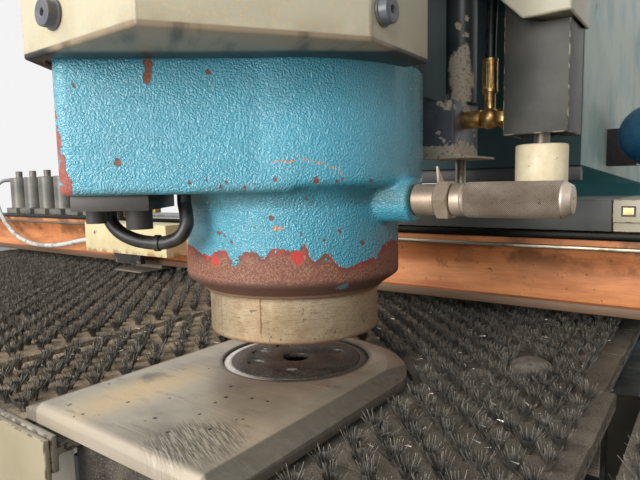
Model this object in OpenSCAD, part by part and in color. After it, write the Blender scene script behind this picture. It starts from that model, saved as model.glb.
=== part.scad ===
// Single-station sheet-metal punching machine: a welded C-frame with a cast
// punching head, a brush table and a cross rail that moves the sheet.
// The frame stands on the floor at z = 0, +Y points back into the throat.

/* [Machine] */
// Height of the die plate's top above the floor
table_height = 900; // [880:5:940]
// From the punch axis forward to the front cover's face
front_reach = 205; // [203:1:215]
// From the punch axis back to the cabinet door's face
rear_reach = 1650; // [1640:5:1700]
// Half the length of the cross rail
rail_half = 1150; // [1130:5:1200]
// Height of the levelling feet
foot_height = 60; // [50:1:70]
// Radius of a levelling foot's plate
foot_radius = 55; // [45:1:65]
// Radius of the anchor hole in a levelling foot's plate
anchor_hole_r = 9; // [7:0.5:11]

/* [Welded frame] */
// Half the width of the frame
frame_half = 140; // [136:1:144]
// Thickness of the frame's side plates
side_plate = 40; // [30:1:50]
// Thickness of the plates that join the sides
web_plate = 30; // [20:1:36]
// Depth of the throat behind the punch axis
throat_depth = 1000; // [995:5:1040]
// Depth of the cabinet behind the column, with its door
cabinet_depth = 200; // [190:5:230]
// Underside of the upper arm above the die plate, at its front
arm_bottom = 150; // [146:1:160]
// How far the arm's underside sinks towards the column
arm_sink = 25; // [15:1:28]
// Top of the upper arm above the die plate
arm_top = 600; // [580:5:640]
// Front wall of the wide upper arm behind the punch axis
arm_front = 330; // [325:1:340]
// Underside of the nose that carries the head
nose_bottom = 210; // [208:1:214]
// Thickness of the nose plate
nose_thick = 80; // [70:1:90]
// Radius of the nose plate round the punch axis
nose_radius = 95; // [90:1:97]
// Half the width of the nose's stem
stem_half = 45; // [38:1:50]
// Shelf that carries the sheet clamp and the hold-down
shelf_z = 330; // [322:1:345]
// Top of the lower arm below the die plate
bed_drop = 75; // [72:1:80]

/* [Die] */
// Half the flat width of the die plate
plate_half = 75; // [70:1:78]
// Width of the ramp along the die plate's edges
plate_ramp = 14; // [10:1:15]
// Height of that ramp
ramp_drop = 5; // [3:0.5:6]
// Thickness of the die plate
plate_thick = 12; // [11:0.5:14]
// From the punch axis forward to the die plate's nose
plate_front = 166; // [160:1:169]
// Radius of the die plate's round rear end at its top
plate_round = 78; // [76:1:80]
// Centre of that round end in front of the punch axis
round_shift = 13; // [10:1:15]
// Radius of the die
die_r = 50; // [48:0.5:52]
// Outer radius of the ring round the die
ring_r = 57; // [56:0.5:59]
// Height of the die
die_height = 30; // [25:1:34]
// Radius of the hole in the die
die_hole_r = 10.4; // [8:0.2:14]
// Radius of the way down for the punched slugs
slug_r = 32; // [28:1:36]

/* [Brush table] */
// Half the width of the centre table behind the head
centre_half = 204; // [200:1:206]
// How much wider the centre table is in front
front_step = 8; // [6:1:12]
// Where that step is, behind the punch axis
step_y = 89; // [80:1:100]
// From the punch axis forward to the table's front edge
table_front = 171; // [170:1:176]
// From the punch axis back to the centre table's end
table_back = 880; // [860:5:900]
// Thickness of the brush boards
board_thick = 6; // [5:0.5:7]
// Length of the brush tufts
tuft_len = 14; // [12:0.5:14]
// Distance between rows of tufts
tuft_pitch = 13; // [12:0.5:18]
// Width of a row of tufts
tuft_w = 5; // [4:0.5:7]
// Width of one brush board
board_w = 94; // [80:1:120]
// Thickness of the sheet under the boards
pan_thick = 6; // [4:0.5:8]
// Inner edge of the side tables
wing_in = 228; // [226:1:234]
// Outer edge of the side tables
wing_out = 1080; // [1040:5:1100]
// Depth of the side tables' brush field behind the punch axis
wing_back = 300; // [296:1:304]

/* [Head] */
// Radius of the head casting's upper body
body_r = 98; // [94:1:100]
// Radius of the head casting's neck
neck_r = 80; // [76:1:84]
// Radius of the casting's lower rim
rim_r = 67.5; // [67:0.5:70]
// Lower face of the casting above the die plate
rim_z = 58.5; // [56:0.5:62]
// Where the cone under the neck ends
cone_top = 69; // [68:0.5:72]
// Where the neck ends
neck_top = 119; // [116:0.5:122]
// Underside of the casting's upper body
shoulder_z = 129; // [127:0.5:133]
// Reach of the drive housing from the punch axis
housing_reach = 137.5; // [134:0.5:138]
// Direction of the drive housing, in degrees from +X
housing_turn = 219.9; // [216:0.1:224]
// Outer radius of the hold-down sleeve
sleeve_r = 64; // [62:0.5:65]
// Lower face of the sleeve above the die plate
sleeve_z = 27.4; // [26:0.2:30]
// Top of the sleeve inside the casting
sleeve_top = 105; // [100:1:110]
// Radius of the ram
ram_r = 40; // [36:0.5:42]
// Lower face of the ram above the die plate
ram_z = 78; // [76:0.5:82]
// Radius of the punch tip
punch_r = 10; // [6:0.2:10.2]
// Radius of the ram's drive cylinder
drive_r = 75; // [68:1:78]
// Height of that cylinder
drive_height = 250; // [230:5:260]
// Sliding clearance of ram and sleeve
slide_fit = 0.1; // [0.05:0.01:0.1]

/* [Hood] */
// Half the width of the hood
hood_half = 117; // [115:1:120]
// Front face of the hood in front of the punch axis
hood_front = 170; // [170:1:178]
// Half the width of the hood's front face
hood_nose = 51; // [46:1:56]
// Where the hood's corner faces meet its sides
hood_corner = 77; // [72:1:82]
// Lower edge of the hood above the die plate
hood_z = 205; // [202:0.5:208]
// Sheet thickness of the covers
sheet = 3; // [2:0.5:4]
// Radius of the hood screws
hood_screw_r = 7; // [5:0.5:9]

/* [Grip] */
// Height of the grip's axis above the die plate
grip_z = 122.5; // [121:0.5:124]
// Radius of the knurled grip
grip_r = 10.9; // [9:0.1:12]
// Length of the knurled grip
grip_len = 61; // [50:1:80]
// Radius of the plain collars
collar_r = 10.2; // [8.5:0.1:11]
// Length of the inner collar
collar_len = 16.5; // [12:0.5:18]
// Length of the outer collar
outer_collar = 8.3; // [6:0.1:12]
// Across-corner radius of the jam nut
nut_r = 13.2; // [12.6:0.1:14]
// Thickness of the jam nut
nut_len = 9.2; // [7:0.1:12]

/* [Hold-down] */
// Hold-down axis to the right of the punch axis
pad_x = 148; // [144:1:150]
// Hold-down axis behind the punch axis
pad_y = 132; // [130:1:136]
// Radius of the hold-down pad
pad_r = 19.7; // [17:0.1:21]
// Height of the hold-down pad
pad_h = 44; // [38:1:46]
// Top of the pad above the die plate
pad_top = 162; // [160:0.5:163]
// Radius of the hold-down rod
rod_r = 6; // [5:0.5:8]
// Underside of the hold-down housing
housing_z = 169; // [168:1:172]
// Width of the hold-down housing
housing_w = 48; // [44:1:50]
// Depth of the hold-down housing
housing_d = 45; // [43:1:50]
// Radius of the barrel inside the housing
barrel_r = 17; // [14:0.5:19]
// Plunger tube, to the right of the punch axis
tube_x = 75.5; // [74:0.5:78]
// Plunger tube, behind the punch axis
tube_y = 146; // [140:1:148]
// Radius of the plunger tube
tube_r = 13.3; // [12:0.1:15]
// Radius of the plunger
plunger_r = 4.5; // [3.5:0.1:5]
// Top of the plunger block
block_top = 201; // [198:1:204]
// Underside of the plunger block
block_z = 153; // [150:1:156]

/* [Cross rail] */
// Front lip of the rail behind the punch axis
lip_y = 228; // [226:1:232]
// Underside of the rail above the die plate
rail_z = 8; // [6:0.5:10]
// Rear face of the rail behind the punch axis
rail_back = 296; // [292:1:297]
// Rear face of the cross beam behind the punch axis
beam_back = 380; // [360:1:384]
// Half the length of the cross beam
beam_half = 1000; // [960:5:1060]
// Top of the cross beam above the die plate
beam_top = 84; // [82:0.5:84]
// Running clearance of the guides
run_gap = 0.3; // [0.2:0.05:0.4]
// Radius of a tool holder
holder_r = 18.5; // [16:0.5:20]
// Distance between tool holders
holder_pitch = 62; // [56:1:66]
// How many tool holders the magazine has
holder_count = 6; // [2:1:6]

/* [Controls] */
// Length of the pendant's boom
boom_len = 850; // [780:5:900]
// Radius of the boom tube
boom_r = 25; // [20:1:30]
// Width of the pendant
pendant_w = 340; // [300:5:380]
// Height of the pendant
pendant_h = 260; // [220:5:280]
// Half the width of the electrical cabinet
cabinet_half = 300; // [280:5:340]
// Thickness of the cabinet's door
door_thick = 20; // [16:1:24]

/* [Hidden] */
$fn = 96;

// Place of the punch axis, so that the machine's box is centred on the origin
punch_y = (front_reach - rear_reach) / 2;
floor_z = -table_height;
board_z = -board_thick - tuft_len;
pan_z = board_z - pan_thick;
column_back = rear_reach - cabinet_depth;
frame_bottom = floor_z + foot_height;
frame_front = -110;
plate_edge = plate_half + plate_ramp;
round_edge = plate_round + plate_ramp;
cut_gap = 5;
nose_top = nose_bottom + nose_thick;
hood_top = arm_top - 40;
bracket_reach = 131;
housing_rear_r = 30;
lug_end = 103.8;
lug_r = 15;
stud_r = 6;
nut_x = lug_end + collar_len;
grip_x = nut_x + nut_len + outer_collar;
guide_w = 20;
guide_h = 18;
guide_levels = [-110, -360];
guide_half = 32;
guide_front = frame_front + 10;
guide_back = throat_depth - 40;
gusset_thick = 8;
gusset_rows = [-56, 244];
block_len = 68;
block_out = 45;
post_w = 60;
way_proud = 8;
rail_top = 84;
slab_z = 85.3;
slab_top = 115;
slab_start = -250;
slab_end = 184;
holder_x = 460 - rail_half;
holder_y = 262;
jaw_w = 70;
clamp_x = [650 - rail_half, rail_half - 550];
clamp_w = 216;
clamp_front = lip_y - 45;
clamp_low = 30;
clamp_top = rail_top - 6;
hinge_z = 41;
pin_r = 4;
boom_y = 450;
boom_z = arm_top + 52;
pendant_d = 120;
pendant_z = 250;
shelf_thick = 15;
cover_left = pad_x - housing_w / 2 - 8;
cover_right = pad_x + housing_w / 2 + 4;
cover_front = pad_y - housing_d / 2 - 19;
cover_back = pad_y + housing_d / 2;
cover_z = 250;
hood_back = -10;
drawer_half = 80;
drawer_z = -440;
drawer_h = 180;
notch_half = 50;
band_top = -13;
ledge_z = -48;
apron_low = -130;
cover_half = 150;
bolster_front = 150;
cabinet_bottom = -700;
bolt_r = 6;
rod_fit = 0.05;
foot_out = 50;
foot_y = [frame_front + 60, column_back - 90];
fitting_y = 132;
fitting_z = 186;
switch_y = rear_reach - cabinet_depth / 2;
switch_z = 260;

// Routes of the three lines from the punch axis; the first is turned with the drive housing
index_route = [[118, 60, 120], [118, 60, 113], [113, 61, 106], [104, 63, 101], [93, 65, 98.5],
    [82, 67, 98.5], [73, 68.5, 102], [68.5, 69, 109], [68.5, 67, 116], [70, 64, 123], [70, 64, 128.8]];
rail_route = [[-608, 224, 44], [-640, 224, 44], [-690, 223, 39], [-736, 219, 31], [-780, 217, 26],
    [-830, 217, 24], [-884, 218, 27], [-934, 220, 37], [-976, 222, 55], [-1012, 224, 80],
    [-1034, 226, 105], [-1044, 228, 128], [-1046, 234, 146], [-1046, 246, 156], [-1046, 262, 158]];
hose_route = [[106, 132, 234], [106, 132, 248], [106.5, 132, 266], [107, 132.5, 286],
    [106.5, 132.5, 306], [106, 132, 320], [106, 132, 330]];

// Everything is drawn from the punch axis at the die plate's top
module at_die() translate([0, punch_y, table_height]) children();

// A block between two corners
module block(x0, x1, y0, y1, z0, z1)
    translate([x0, y0, z0]) cube([x1 - x0, y1 - y0, z1 - z0]);

// An outline in Y and Z, drawn out along X
module along_x(x0, x1)
    translate([x0, 0, 0]) rotate([90, 0, 90]) linear_extrude(x1 - x0) children();

// An outline in X and Z, drawn out along Y
module along_y(y0, y1)
    translate([0, y1, 0]) rotate([90, 0, 0]) linear_extrude(y1 - y0) children();

// A round bar along X
module bar_x(x0, x1, y, z, r)
    translate([x0, y, z]) rotate([0, 90, 0]) cylinder(r = r, h = x1 - x0);

// A round bar along Z
module bar_z_at(x, y, z0, z1, r)
    translate([x, y, z0]) cylinder(r = r, h = z1 - z0);

// A sheet case around a box, open below
module case_open_below(x0, x1, y0, y1, z0, z1)
    difference() {
        block(x0, x1, y0, y1, z0, z1);
        block(x0 + sheet, x1 - sheet, y0 + sheet, y1 - sheet, z0 - 1, z1 - sheet);
    }

function unit(v) = v / norm(v);
function tangent(p, i) = unit(p[min(i + 1, len(p) - 1)] - p[max(i - 1, 0)]);
function side_of(t, up) = unit(cross(t, up));

// A line of round section swept along a list of points
module swept(points, r, up, sides = 10) {
    rings = [for (i = [0:len(points) - 1])
        let (t = tangent(points, i), s = side_of(t, up), n = cross(s, t))
        for (k = [0:sides - 1])
            points[i] + r * (cos(360 * k / sides) * s + sin(360 * k / sides) * n)];
    last = len(points) - 1;
    polyhedron(rings, concat(
        [[for (k = [0:sides - 1]) k]],
        [for (i = [0:last - 1]) for (k = [0:sides - 1])
            [i * sides + k, (i + 1) * sides + k, (i + 1) * sides + (k + 1) % sides,
             i * sides + (k + 1) % sides]],
        [[for (k = [sides - 1:-1:0]) last * sides + k]]));
}

// Two more points between each pair of a route, on a smooth curve
function smooth(p) = [for (i = [0:len(p) - 2]) for (s = [0, 1/3, 2/3])
    let (a = p[max(i - 1, 0)], b = p[i], c = p[i + 1], d = p[min(i + 2, len(p) - 1)])
    b + 0.5 * s * (c - a + s * (2 * a - 5 * b + 4 * c - d + s * (3 * b - 3 * c + d - a)))];
function smooth_route(p) = concat(smooth(p), [p[len(p) - 1]]);

// Welded frame

module side_outline()
    polygon([[frame_front, frame_bottom], [frame_front, -bed_drop],
        [throat_depth - 40, -bed_drop], [throat_depth, -bed_drop + 40],
        [throat_depth, arm_bottom - arm_sink - 60], [throat_depth - 60, arm_bottom - arm_sink],
        [arm_front, arm_bottom], [arm_front, arm_top - 40], [arm_front + 40, arm_top],
        [column_back, arm_top], [column_back, frame_bottom]]);

module side_core()
    offset(delta = -web_plate) side_outline();

module c_frame() color([0.45, 0.62, 0.64]) at_die() {
    inner = frame_half - side_plate;
    difference() {
        union() {
            along_x(-frame_half, -inner) side_outline();
            along_x(inner, frame_half) side_outline();
            along_x(-inner, inner) difference() {
                side_outline();
                side_core();
            }
            // Nose plate with its stem and upper rib
            difference() {
                union() {
                    bar_z_at(0, 0, nose_bottom, nose_top, nose_radius);
                    block(-stem_half, stem_half, 0, arm_front, nose_bottom, nose_top);
                }
                bar_z_at(0, 0, nose_bottom - 1, nose_top + 1, ram_r + slide_fit);
            }
            block(-stem_half, stem_half, drive_r + 10, arm_front, nose_top, arm_top - 60);
            // Shelf for the sheet clamp and the hold-down
            block(stem_half, frame_half, cover_front + sheet, arm_front,
                shelf_z, shelf_z + shelf_thick);
            block(frame_half - 1, cover_right - sheet, cover_front + sheet, cover_back,
                shelf_z, shelf_z + shelf_thick);
        }
        // Way for the slugs, and the rear opening that the cabinet closes
        bar_z_at(0, 0, -bed_drop - web_plate - 1, -bed_drop + 1, slug_r);
        block(-inner + 10, inner - 10, column_back - web_plate - 1, column_back + 1,
            frame_bottom + 240, arm_top - 200);
        // Opening for the slug drawer, whose floor slides on its lower edge
        block(-inner + 10, inner - 10, frame_front - 1, frame_front + web_plate + 1,
            drawer_z - run_gap, drawer_z + drawer_h + 60);
    }
}

module levelling_feet() color([0.3, 0.31, 0.32]) at_die() {
    plate = 14;
    screw_r = 12;
    for (s = [-1, 1]) wing(s) for (y = foot_y)
        translate([frame_half + foot_out, y, floor_z]) {
            difference() {
                cylinder(r = foot_radius, h = plate);
                translate([0, -foot_radius / 2 - 6, -1]) cylinder(r = anchor_hole_r, h = plate + 2);
            }
            translate([0, 0, plate]) cylinder(r = screw_r, h = foot_height + 20);
            translate([0, 0, foot_height - 16]) cylinder(r = 20, h = 16, $fn = 6);
            // Foot bracket on the frame's side
            translate([-foot_out, -22, foot_height]) difference() {
                cube([80, 44, 24]);
                translate([foot_out, 22, -1]) cylinder(r = screw_r, h = 40);
            }
        }
}

module front_cover() color([0.84, 0.8, 0.68]) at_die() {
    bottom = floor_z + 100;
    top = apron_low - 2;
    narrow = notch_half - 2;
    difference() {
        block(-cover_half, cover_half, -front_reach, frame_front, bottom, top);
        block(-cover_half + sheet, cover_half - sheet, -front_reach + sheet, frame_front + 1,
            bottom - 1, top - sheet);
        block(-drawer_half - 2, drawer_half + 2, -front_reach - 1, -front_reach + sheet + 1,
            drawer_z - run_gap, drawer_z + drawer_h + 2);
    }
    // Ledge under the die plate's nose
    difference() {
        block(-narrow, narrow, -front_reach + 8, -bolster_front, top, ledge_z);
        block(-narrow + sheet, narrow - sheet, -front_reach + 8 + sheet, -bolster_front + 1,
            top - 1, ledge_z - sheet);
    }
}

module slug_drawer() color([0.36, 0.38, 0.4]) at_die() {
    wall = 2;
    top = drawer_z + drawer_h;
    difference() {
        block(-drawer_half, drawer_half, -front_reach, 60, drawer_z, top);
        block(-drawer_half + wall, drawer_half - wall, -front_reach + 24, 60 - wall,
            drawer_z + wall, top + 1);
        // Grip recess in the drawer's front
        block(-45, 45, -front_reach - 1, -front_reach + 18, top - 60, top - 20);
    }
}

// Die

module die_bolster() color([0.33, 0.34, 0.35]) at_die() {
    half = 60;
    difference() {
        block(-half, half, -bolster_front, half, -bed_drop, -plate_thick);
        bar_z_at(0, 0, -die_height, 0, die_r + slide_fit);
        bar_z_at(0, 0, -bed_drop - 1, -die_height + 1, slug_r);
    }
}

// The die plate's outline with a gap all round it, for the cut in the boards
module plate_cut_outline(gap) {
    intersection() {
        translate([0, -round_shift]) circle(r = round_edge + gap);
        translate([-plate_edge - gap, -round_shift - 1])
            square([2 * (plate_edge + gap), 2 * round_edge]);
    }
    translate([-plate_edge - gap, -table_front - 20])
        square([2 * (plate_edge + gap), table_front + 20 - round_shift]);
}

module die_plate() color([0.55, 0.5, 0.44]) at_die() {
    nose_r = 6;
    difference() {
        intersection() {
            along_y(-plate_front, round_edge)
                polygon([[-plate_edge, -plate_thick], [-plate_edge, -ramp_drop], [-plate_half, 0],
                    [plate_half, 0], [plate_edge, -ramp_drop], [plate_edge, -plate_thick]]);
            union() {
                block(-plate_edge - 1, plate_edge + 1, -plate_front - 1, -round_shift, -plate_thick, 0);
                translate([0, -round_shift, -plate_thick])
                    cylinder(r = round_edge, h = plate_thick - ramp_drop);
                translate([0, -round_shift, -ramp_drop])
                    cylinder(r1 = round_edge, r2 = plate_round, h = ramp_drop);
            }
            // Rounded nose
            along_x(-plate_edge - 1, plate_edge + 1) union() {
                translate([-plate_front + nose_r, -nose_r]) circle(r = nose_r);
                translate([-plate_front + nose_r, -plate_thick])
                    square([round_edge + plate_front, plate_thick]);
                translate([-plate_front, -plate_thick]) square([nose_r + 1, plate_thick - nose_r]);
            }
        }
        bar_z_at(0, 0, -plate_thick - 1, 1, ring_r);
    }
}

module die_ring() color([0.72, 0.72, 0.7]) at_die() {
    lip = 1.2;
    rotate_extrude() polygon([[die_r + slide_fit, -plate_thick], [ring_r, -plate_thick],
        [ring_r, -lip - 1.5], [die_r + 4, -lip], [die_r + slide_fit, -lip]]);
}

module die_disc() color([0.2, 0.2, 0.2]) at_die()
    difference() {
        bar_z_at(0, 0, -die_height, -0.8, die_r);
        bar_z_at(0, 0, -6, 1, die_hole_r);
        bar_z_at(0, 0, -die_height - 1, -5, slug_r - 8);
        // Screw seats in the die's face
        for (a = [58, 148, 193, 238]) rotate([0, 0, a]) bar_z_at(33, 0, -3, 1, 6);
    }

// Centre table

module table_bed() color([0.5, 0.5, 0.48]) at_die() {
    wide = centre_half + front_step;
    difference() {
        union() {
            block(-wide, wide, -table_front + 5, step_y, pan_z, board_z);
            block(-centre_half, centre_half, step_y, table_back, pan_z, board_z);
            block(-wide, wide, -table_front, -table_front + 5, pan_z - 10, band_top);
            // Long beams from the pan down to the lower arm
            for (s = [-1, 1]) block(s * 100 - 20, s * 100 + 20, 64, table_back - 20, -bed_drop, pan_z);
            for (s = [-1, 1]) block(s * 100 - 20, s * 100 + 20, frame_front, 60, -bed_drop, pan_z);
        }
        // Notch in front, and the seat of the die plate's bolster
        block(-notch_half, notch_half, -table_front - 1, -bolster_front, -60, 1);
        block(-60, 60, -bolster_front - 1, 60, -60, 1);
    }
}

module table_apron() color([0.84, 0.81, 0.66]) at_die() {
    wide = centre_half + front_step;
    for (s = [-1, 1])
        block(s > 0 ? notch_half : -wide, s > 0 ? wide : -notch_half, -table_front - 4,
            -table_front, apron_low, band_top - 1);
}

module centre_outline(inset) {
    wide = centre_half + front_step - inset;
    translate([-wide, -table_front + 5]) square([2 * wide, step_y + table_front - 5]);
    translate([-centre_half + inset, step_y - 1])
        square([2 * (centre_half - inset), table_back - step_y + 1]);
}

module centre_boards() color([0.42, 0.35, 0.28]) at_die()
    difference() {
        translate([0, 0, board_z]) linear_extrude(board_thick) difference() {
            centre_outline(0);
            plate_cut_outline(cut_gap);
        }
        // Gaps between the boards
        for (y = [-99:board_w:table_back - 10])
            block(-rail_half, rail_half, y, y + 1, board_z - 1, 1);
        // Seam behind the die plate, where two halves of a board meet
        block(-0.5, 0.5, -round_shift, step_y + 1, board_z - 1, 1);
    }

// Rows of tufts, each row drawn as a ridge
module tuft_rows(y0, y1)
    for (y = [y0 + tuft_pitch / 2:tuft_pitch:y1 - tuft_w])
        translate([-rail_half, y - tuft_w / 2]) square([2 * rail_half, tuft_w]);

module centre_tufts() color([0.17, 0.18, 0.18]) at_die()
    translate([0, 0, -tuft_len]) linear_extrude(tuft_len - 0.5) difference() {
        intersection() {
            tuft_rows(-table_front + 5, table_back);
            centre_outline(6);
        }
        plate_cut_outline(cut_gap + 3);
    }

// Guides and drive on the lower arm's sides

module y_guide_rails() color([0.62, 0.63, 0.64]) at_die()
    for (s = [-1, 1]) for (z = guide_levels)
        block(s > 0 ? frame_half : -frame_half - guide_h, s > 0 ? frame_half + guide_h : -frame_half,
            guide_front, guide_back, z - guide_w / 2, z + guide_w / 2);

// Housing of the screw along the lower arm, with its motor at the back
module y_drive_housing() color([0.25, 0.27, 0.29]) at_die() {
    z = (guide_levels[0] + guide_levels[1]) / 2 + 5;
    motor = 60;
    block(frame_half, frame_half + 38, guide_front, guide_back, z - motor / 2, z + motor / 2);
    block(frame_half, frame_half + 70, guide_back, guide_back + 3 * motor, z - motor, z + motor);
}

// Head

module head_profile() {
    groove = shoulder_z + 3 - neck_top;
    polygon(concat(
        [[ram_r + slide_fit, nose_bottom], [ram_r + slide_fit, sleeve_top + 12],
         [sleeve_r + slide_fit, sleeve_top + 12], [sleeve_r + slide_fit, rim_z],
         [rim_r, rim_z], [rim_r, rim_z + 2], [neck_r, cone_top], [neck_r, neck_top]],
        [for (a = [15:15:90]) [neck_r + groove * (1 - cos(a)), neck_top + groove * sin(a)]],
        [for (a = [-90:15:0]) [body_r - 5 + 5 * cos(a), neck_top + groove + 5 + 5 * sin(a)]],
        [[body_r, nose_bottom]]));
}

// Plan of the drive housing that stands out of the casting's upper body, grown by gap
module housing_outline(gap = 0) {
    corner_r = 10 + gap;
    rear_r = housing_rear_r + gap;
    rear_y = housing_rear_r;
    side = body_r - 2 + gap;
    reach = housing_reach + gap;
    difference() {
        union() {
            polygon([[0, side], [reach - corner_r, side], [reach - corner_r, rear_y],
                [reach - rear_r, rear_y], [reach - rear_r, -gap], [60 + gap, -70], [0, -70]]);
            translate([reach - corner_r - 1, rear_y]) square([corner_r + 1, side - corner_r - rear_y]);
            translate([reach - corner_r, side - corner_r]) circle(r = corner_r);
            translate([reach - rear_r, rear_y]) circle(r = rear_r);
        }
        circle(r = body_r - 20);
    }
}

module head_casting() color([0.2, 0.6, 0.7]) at_die()
    difference() {
        union() {
            rotate_extrude() head_profile();
            rotate([0, 0, housing_turn]) translate([0, 0, shoulder_z])
                linear_extrude(nose_bottom - 2 - shoulder_z) housing_outline();
            bar_x(neck_r - 12, lug_end, 0, grip_z, lug_r);
        }
        bar_x(neck_r - 4, lug_end + 1, 0, grip_z, stud_r + slide_fit);
    }

module hood_outline(d) polygon([[-hood_half + d, hood_back],
    [-hood_half + d, -hood_corner + d * 0.3], [-hood_nose + d * 0.6, -hood_front + d],
    [hood_nose - d * 0.6, -hood_front + d], [hood_half - d, -hood_corner + d * 0.3],
    [hood_half - d, hood_back]]);

module hood() color([0.86, 0.82, 0.71]) at_die()
    difference() {
        translate([0, 0, hood_z]) linear_extrude(hood_top - hood_z) hood_outline(0);
        // Inside the sheet above the folded lip
        translate([0, 0, hood_z + sheet]) linear_extrude(hood_top - hood_z - 2 * sheet) union() {
            hood_outline(sheet);
            translate([-hood_half + sheet, hood_back - 1]) square([2 * (hood_half - sheet), 3]);
        }
        // The lip reaches in to the casting
        translate([0, 0, hood_z - 1]) linear_extrude(sheet + 2) intersection() {
            union() {
                hood_outline(sheet + 0.5);
                translate([-body_r - 3, hood_back - 1]) square([2 * body_r + 6, 3]);
            }
            union() {
                circle(r = body_r + 3);
                rotate([0, 0, housing_turn]) housing_outline(3);
                circle(r = body_r - 10);
            }
        }
    }

// Screws in the hood's front and corner faces
module hood_screws() color([0.16, 0.17, 0.18]) at_die() {
    for (z = [hood_z + 17.5, hood_top - 30]) {
        translate([-16.5, -hood_front, z]) rotate([90, 0, 0]) screw_head();
        for (s = [-1, 1]) translate([s * hood_half, -66, z]) rotate([0, s * 90, 0]) screw_head();
    }
}

module screw_head() {
    cylinder(r = hood_screw_r + 1, h = 1.5);
    translate([0, 0, 1.5]) difference() {
        cylinder(r = hood_screw_r, h = 5);
        translate([0, 0, 2]) cylinder(r = 2.2, h = 4, $fn = 6);
    }
}

module ram_cylinder() color([0.3, 0.32, 0.34]) at_die()
    difference() {
        union() {
            bar_z_at(0, 0, nose_top, nose_top + drive_height, drive_r);
            bar_z_at(0, 0, nose_top, nose_top + 22, drive_r + 9);
        }
        bar_z_at(0, 0, nose_top - 1, nose_top + 60, ram_r + 1);
    }

module ram() color([0.6, 0.6, 0.58]) at_die()
    bar_z_at(0, 0, ram_z, nose_top + 20, ram_r);

module punch() color([0.42, 0.42, 0.42]) at_die() {
    holder_z = 48;
    bar_z_at(0, 0, holder_z, ram_z, ram_r - 4);
    bar_z_at(0, 0, 31, holder_z, punch_r);
}

module stripper_sleeve() color([0.68, 0.6, 0.48]) at_die() {
    lip = 6;
    lip_r = ram_r + 3;
    difference() {
        bar_z_at(0, 0, sleeve_z, sleeve_top, sleeve_r);
        bar_z_at(0, 0, sleeve_z - 1, sleeve_top + 1, lip_r);
        bar_z_at(0, 0, sleeve_z + lip, sleeve_top + 1, lip_r + 2);
    }
}

// Grip with its stud in the casting's lug
module grip_handle() color([0.42, 0.37, 0.34]) at_die() {
    taper = 4;
    bar_x(neck_r - 4, nut_x + nut_len, 0, grip_z, stud_r);
    bar_x(lug_end, nut_x, 0, grip_z, collar_r);
    bar_x(nut_x + nut_len, grip_x, 0, grip_z, collar_r);
    bar_x(grip_x, grip_x + grip_len - taper, 0, grip_z, grip_r);
    translate([grip_x + grip_len - taper, 0, grip_z]) rotate([0, 90, 0])
        cylinder(r1 = grip_r, r2 = grip_r - 3, h = taper);
}

module grip_nut() color([0.5, 0.49, 0.46]) at_die() {
    difference() {
        translate([nut_x, 0, grip_z]) rotate([30, 0, 0]) rotate([0, 90, 0])
            cylinder(r = nut_r, h = nut_len, $fn = 6);
        bar_x(nut_x - 1, nut_x + nut_len + 1, 0, grip_z, stud_r);
    }
    // Bent-up tab of its lock washer
    along_x(nut_x + 0.5, nut_x + 2) polygon([[-5, grip_z + 9], [4, grip_z + 9], [-7, grip_z + 21]]);
}

// Bracket under the drive housing, with its screws
module index_bracket() color([0.3, 0.29, 0.28]) at_die() rotate([0, 0, housing_turn]) {
    thick = 9;
    z0 = shoulder_z - thick;
    block(86, bracket_reach, 16, body_r - 8, z0, shoulder_z);
    for (y = [30, 74]) bar_z_at(122, y, z0 - 8, z0, bolt_r);
    bar_z_at(96, 74, z0 - 12, z0, bolt_r + 2);
}

// Hold-down on the right of the head

module hold_down_housing() color([0.2, 0.21, 0.21]) at_die() {
    x0 = pad_x - housing_w / 2;
    y0 = pad_y - housing_d / 2;
    case_open_below(x0, x0 + housing_w, y0, y0 + housing_d, housing_z, shelf_z);
    // Cylinder barrel inside the housing
    difference() {
        bar_z_at(pad_x, pad_y, housing_z + 4, shelf_z - sheet, barrel_r);
        bar_z_at(pad_x, pad_y, housing_z, shelf_z - sheet - 2, rod_r + rod_fit);
    }
}

module hold_down_rod() color([0.45, 0.43, 0.4]) at_die()
    bar_z_at(pad_x, pad_y, pad_top, shelf_z - sheet - 4, rod_r);

module hold_down_pad() color([0.88, 0.83, 0.67]) at_die()
    bar_z_at(pad_x, pad_y, pad_top - pad_h, pad_top, pad_r);

// Cap over the housing's upper half, with the shelf running into it
module hold_down_cover() color([0.86, 0.82, 0.71]) at_die() {
    top = shelf_z + 80;
    cut = 27;
    difference() {
        block(cover_left, cover_right, cover_front, cover_back, cover_z, shelf_z);
        block(cover_left + sheet, cover_right - sheet, cover_front + sheet, cover_back + 1,
            cover_z - 1, shelf_z + 1);
        along_y(cover_front - 1, cover_back + 1) polygon([[cover_left - 1, cover_z - 1],
            [cover_left + cut + 1, cover_z - 1], [cover_left - 1, cover_z + cut + 1]]);
    }
    difference() {
        block(cover_left, cover_right, cover_front, cover_back + sheet, shelf_z, top);
        block(cover_left + sheet, cover_right - sheet, cover_front + sheet, cover_back,
            shelf_z - 1, top - sheet);
        block(cover_left - 1, frame_half + run_gap, cover_front + sheet, cover_back + sheet + 1,
            shelf_z - 1, shelf_z + shelf_thick);
    }
}

module plunger_tube() color([0.17, 0.19, 0.2]) at_die()
    difference() {
        bar_z_at(tube_x, tube_y, block_top, shelf_z, tube_r);
        bar_z_at(tube_x, tube_y, block_top - 1, shelf_z - 6, plunger_r + rod_fit);
    }

module plunger_block() color([0.26, 0.26, 0.28]) at_die()
    difference() {
        along_y(tube_y - 40, tube_y + 17) polygon([[46, 160], [46, block_top], [tube_x + 9, block_top],
            [tube_x + 9, 157], [100, block_z + 2], [100, block_z], [60, block_z]]);
        bar_x(tube_x - 9.5, 101, fitting_y, fitting_z, 4);
        bar_z_at(tube_x, tube_y, block_z - 1, block_top + 1, plunger_r + rod_fit);
    }

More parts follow.
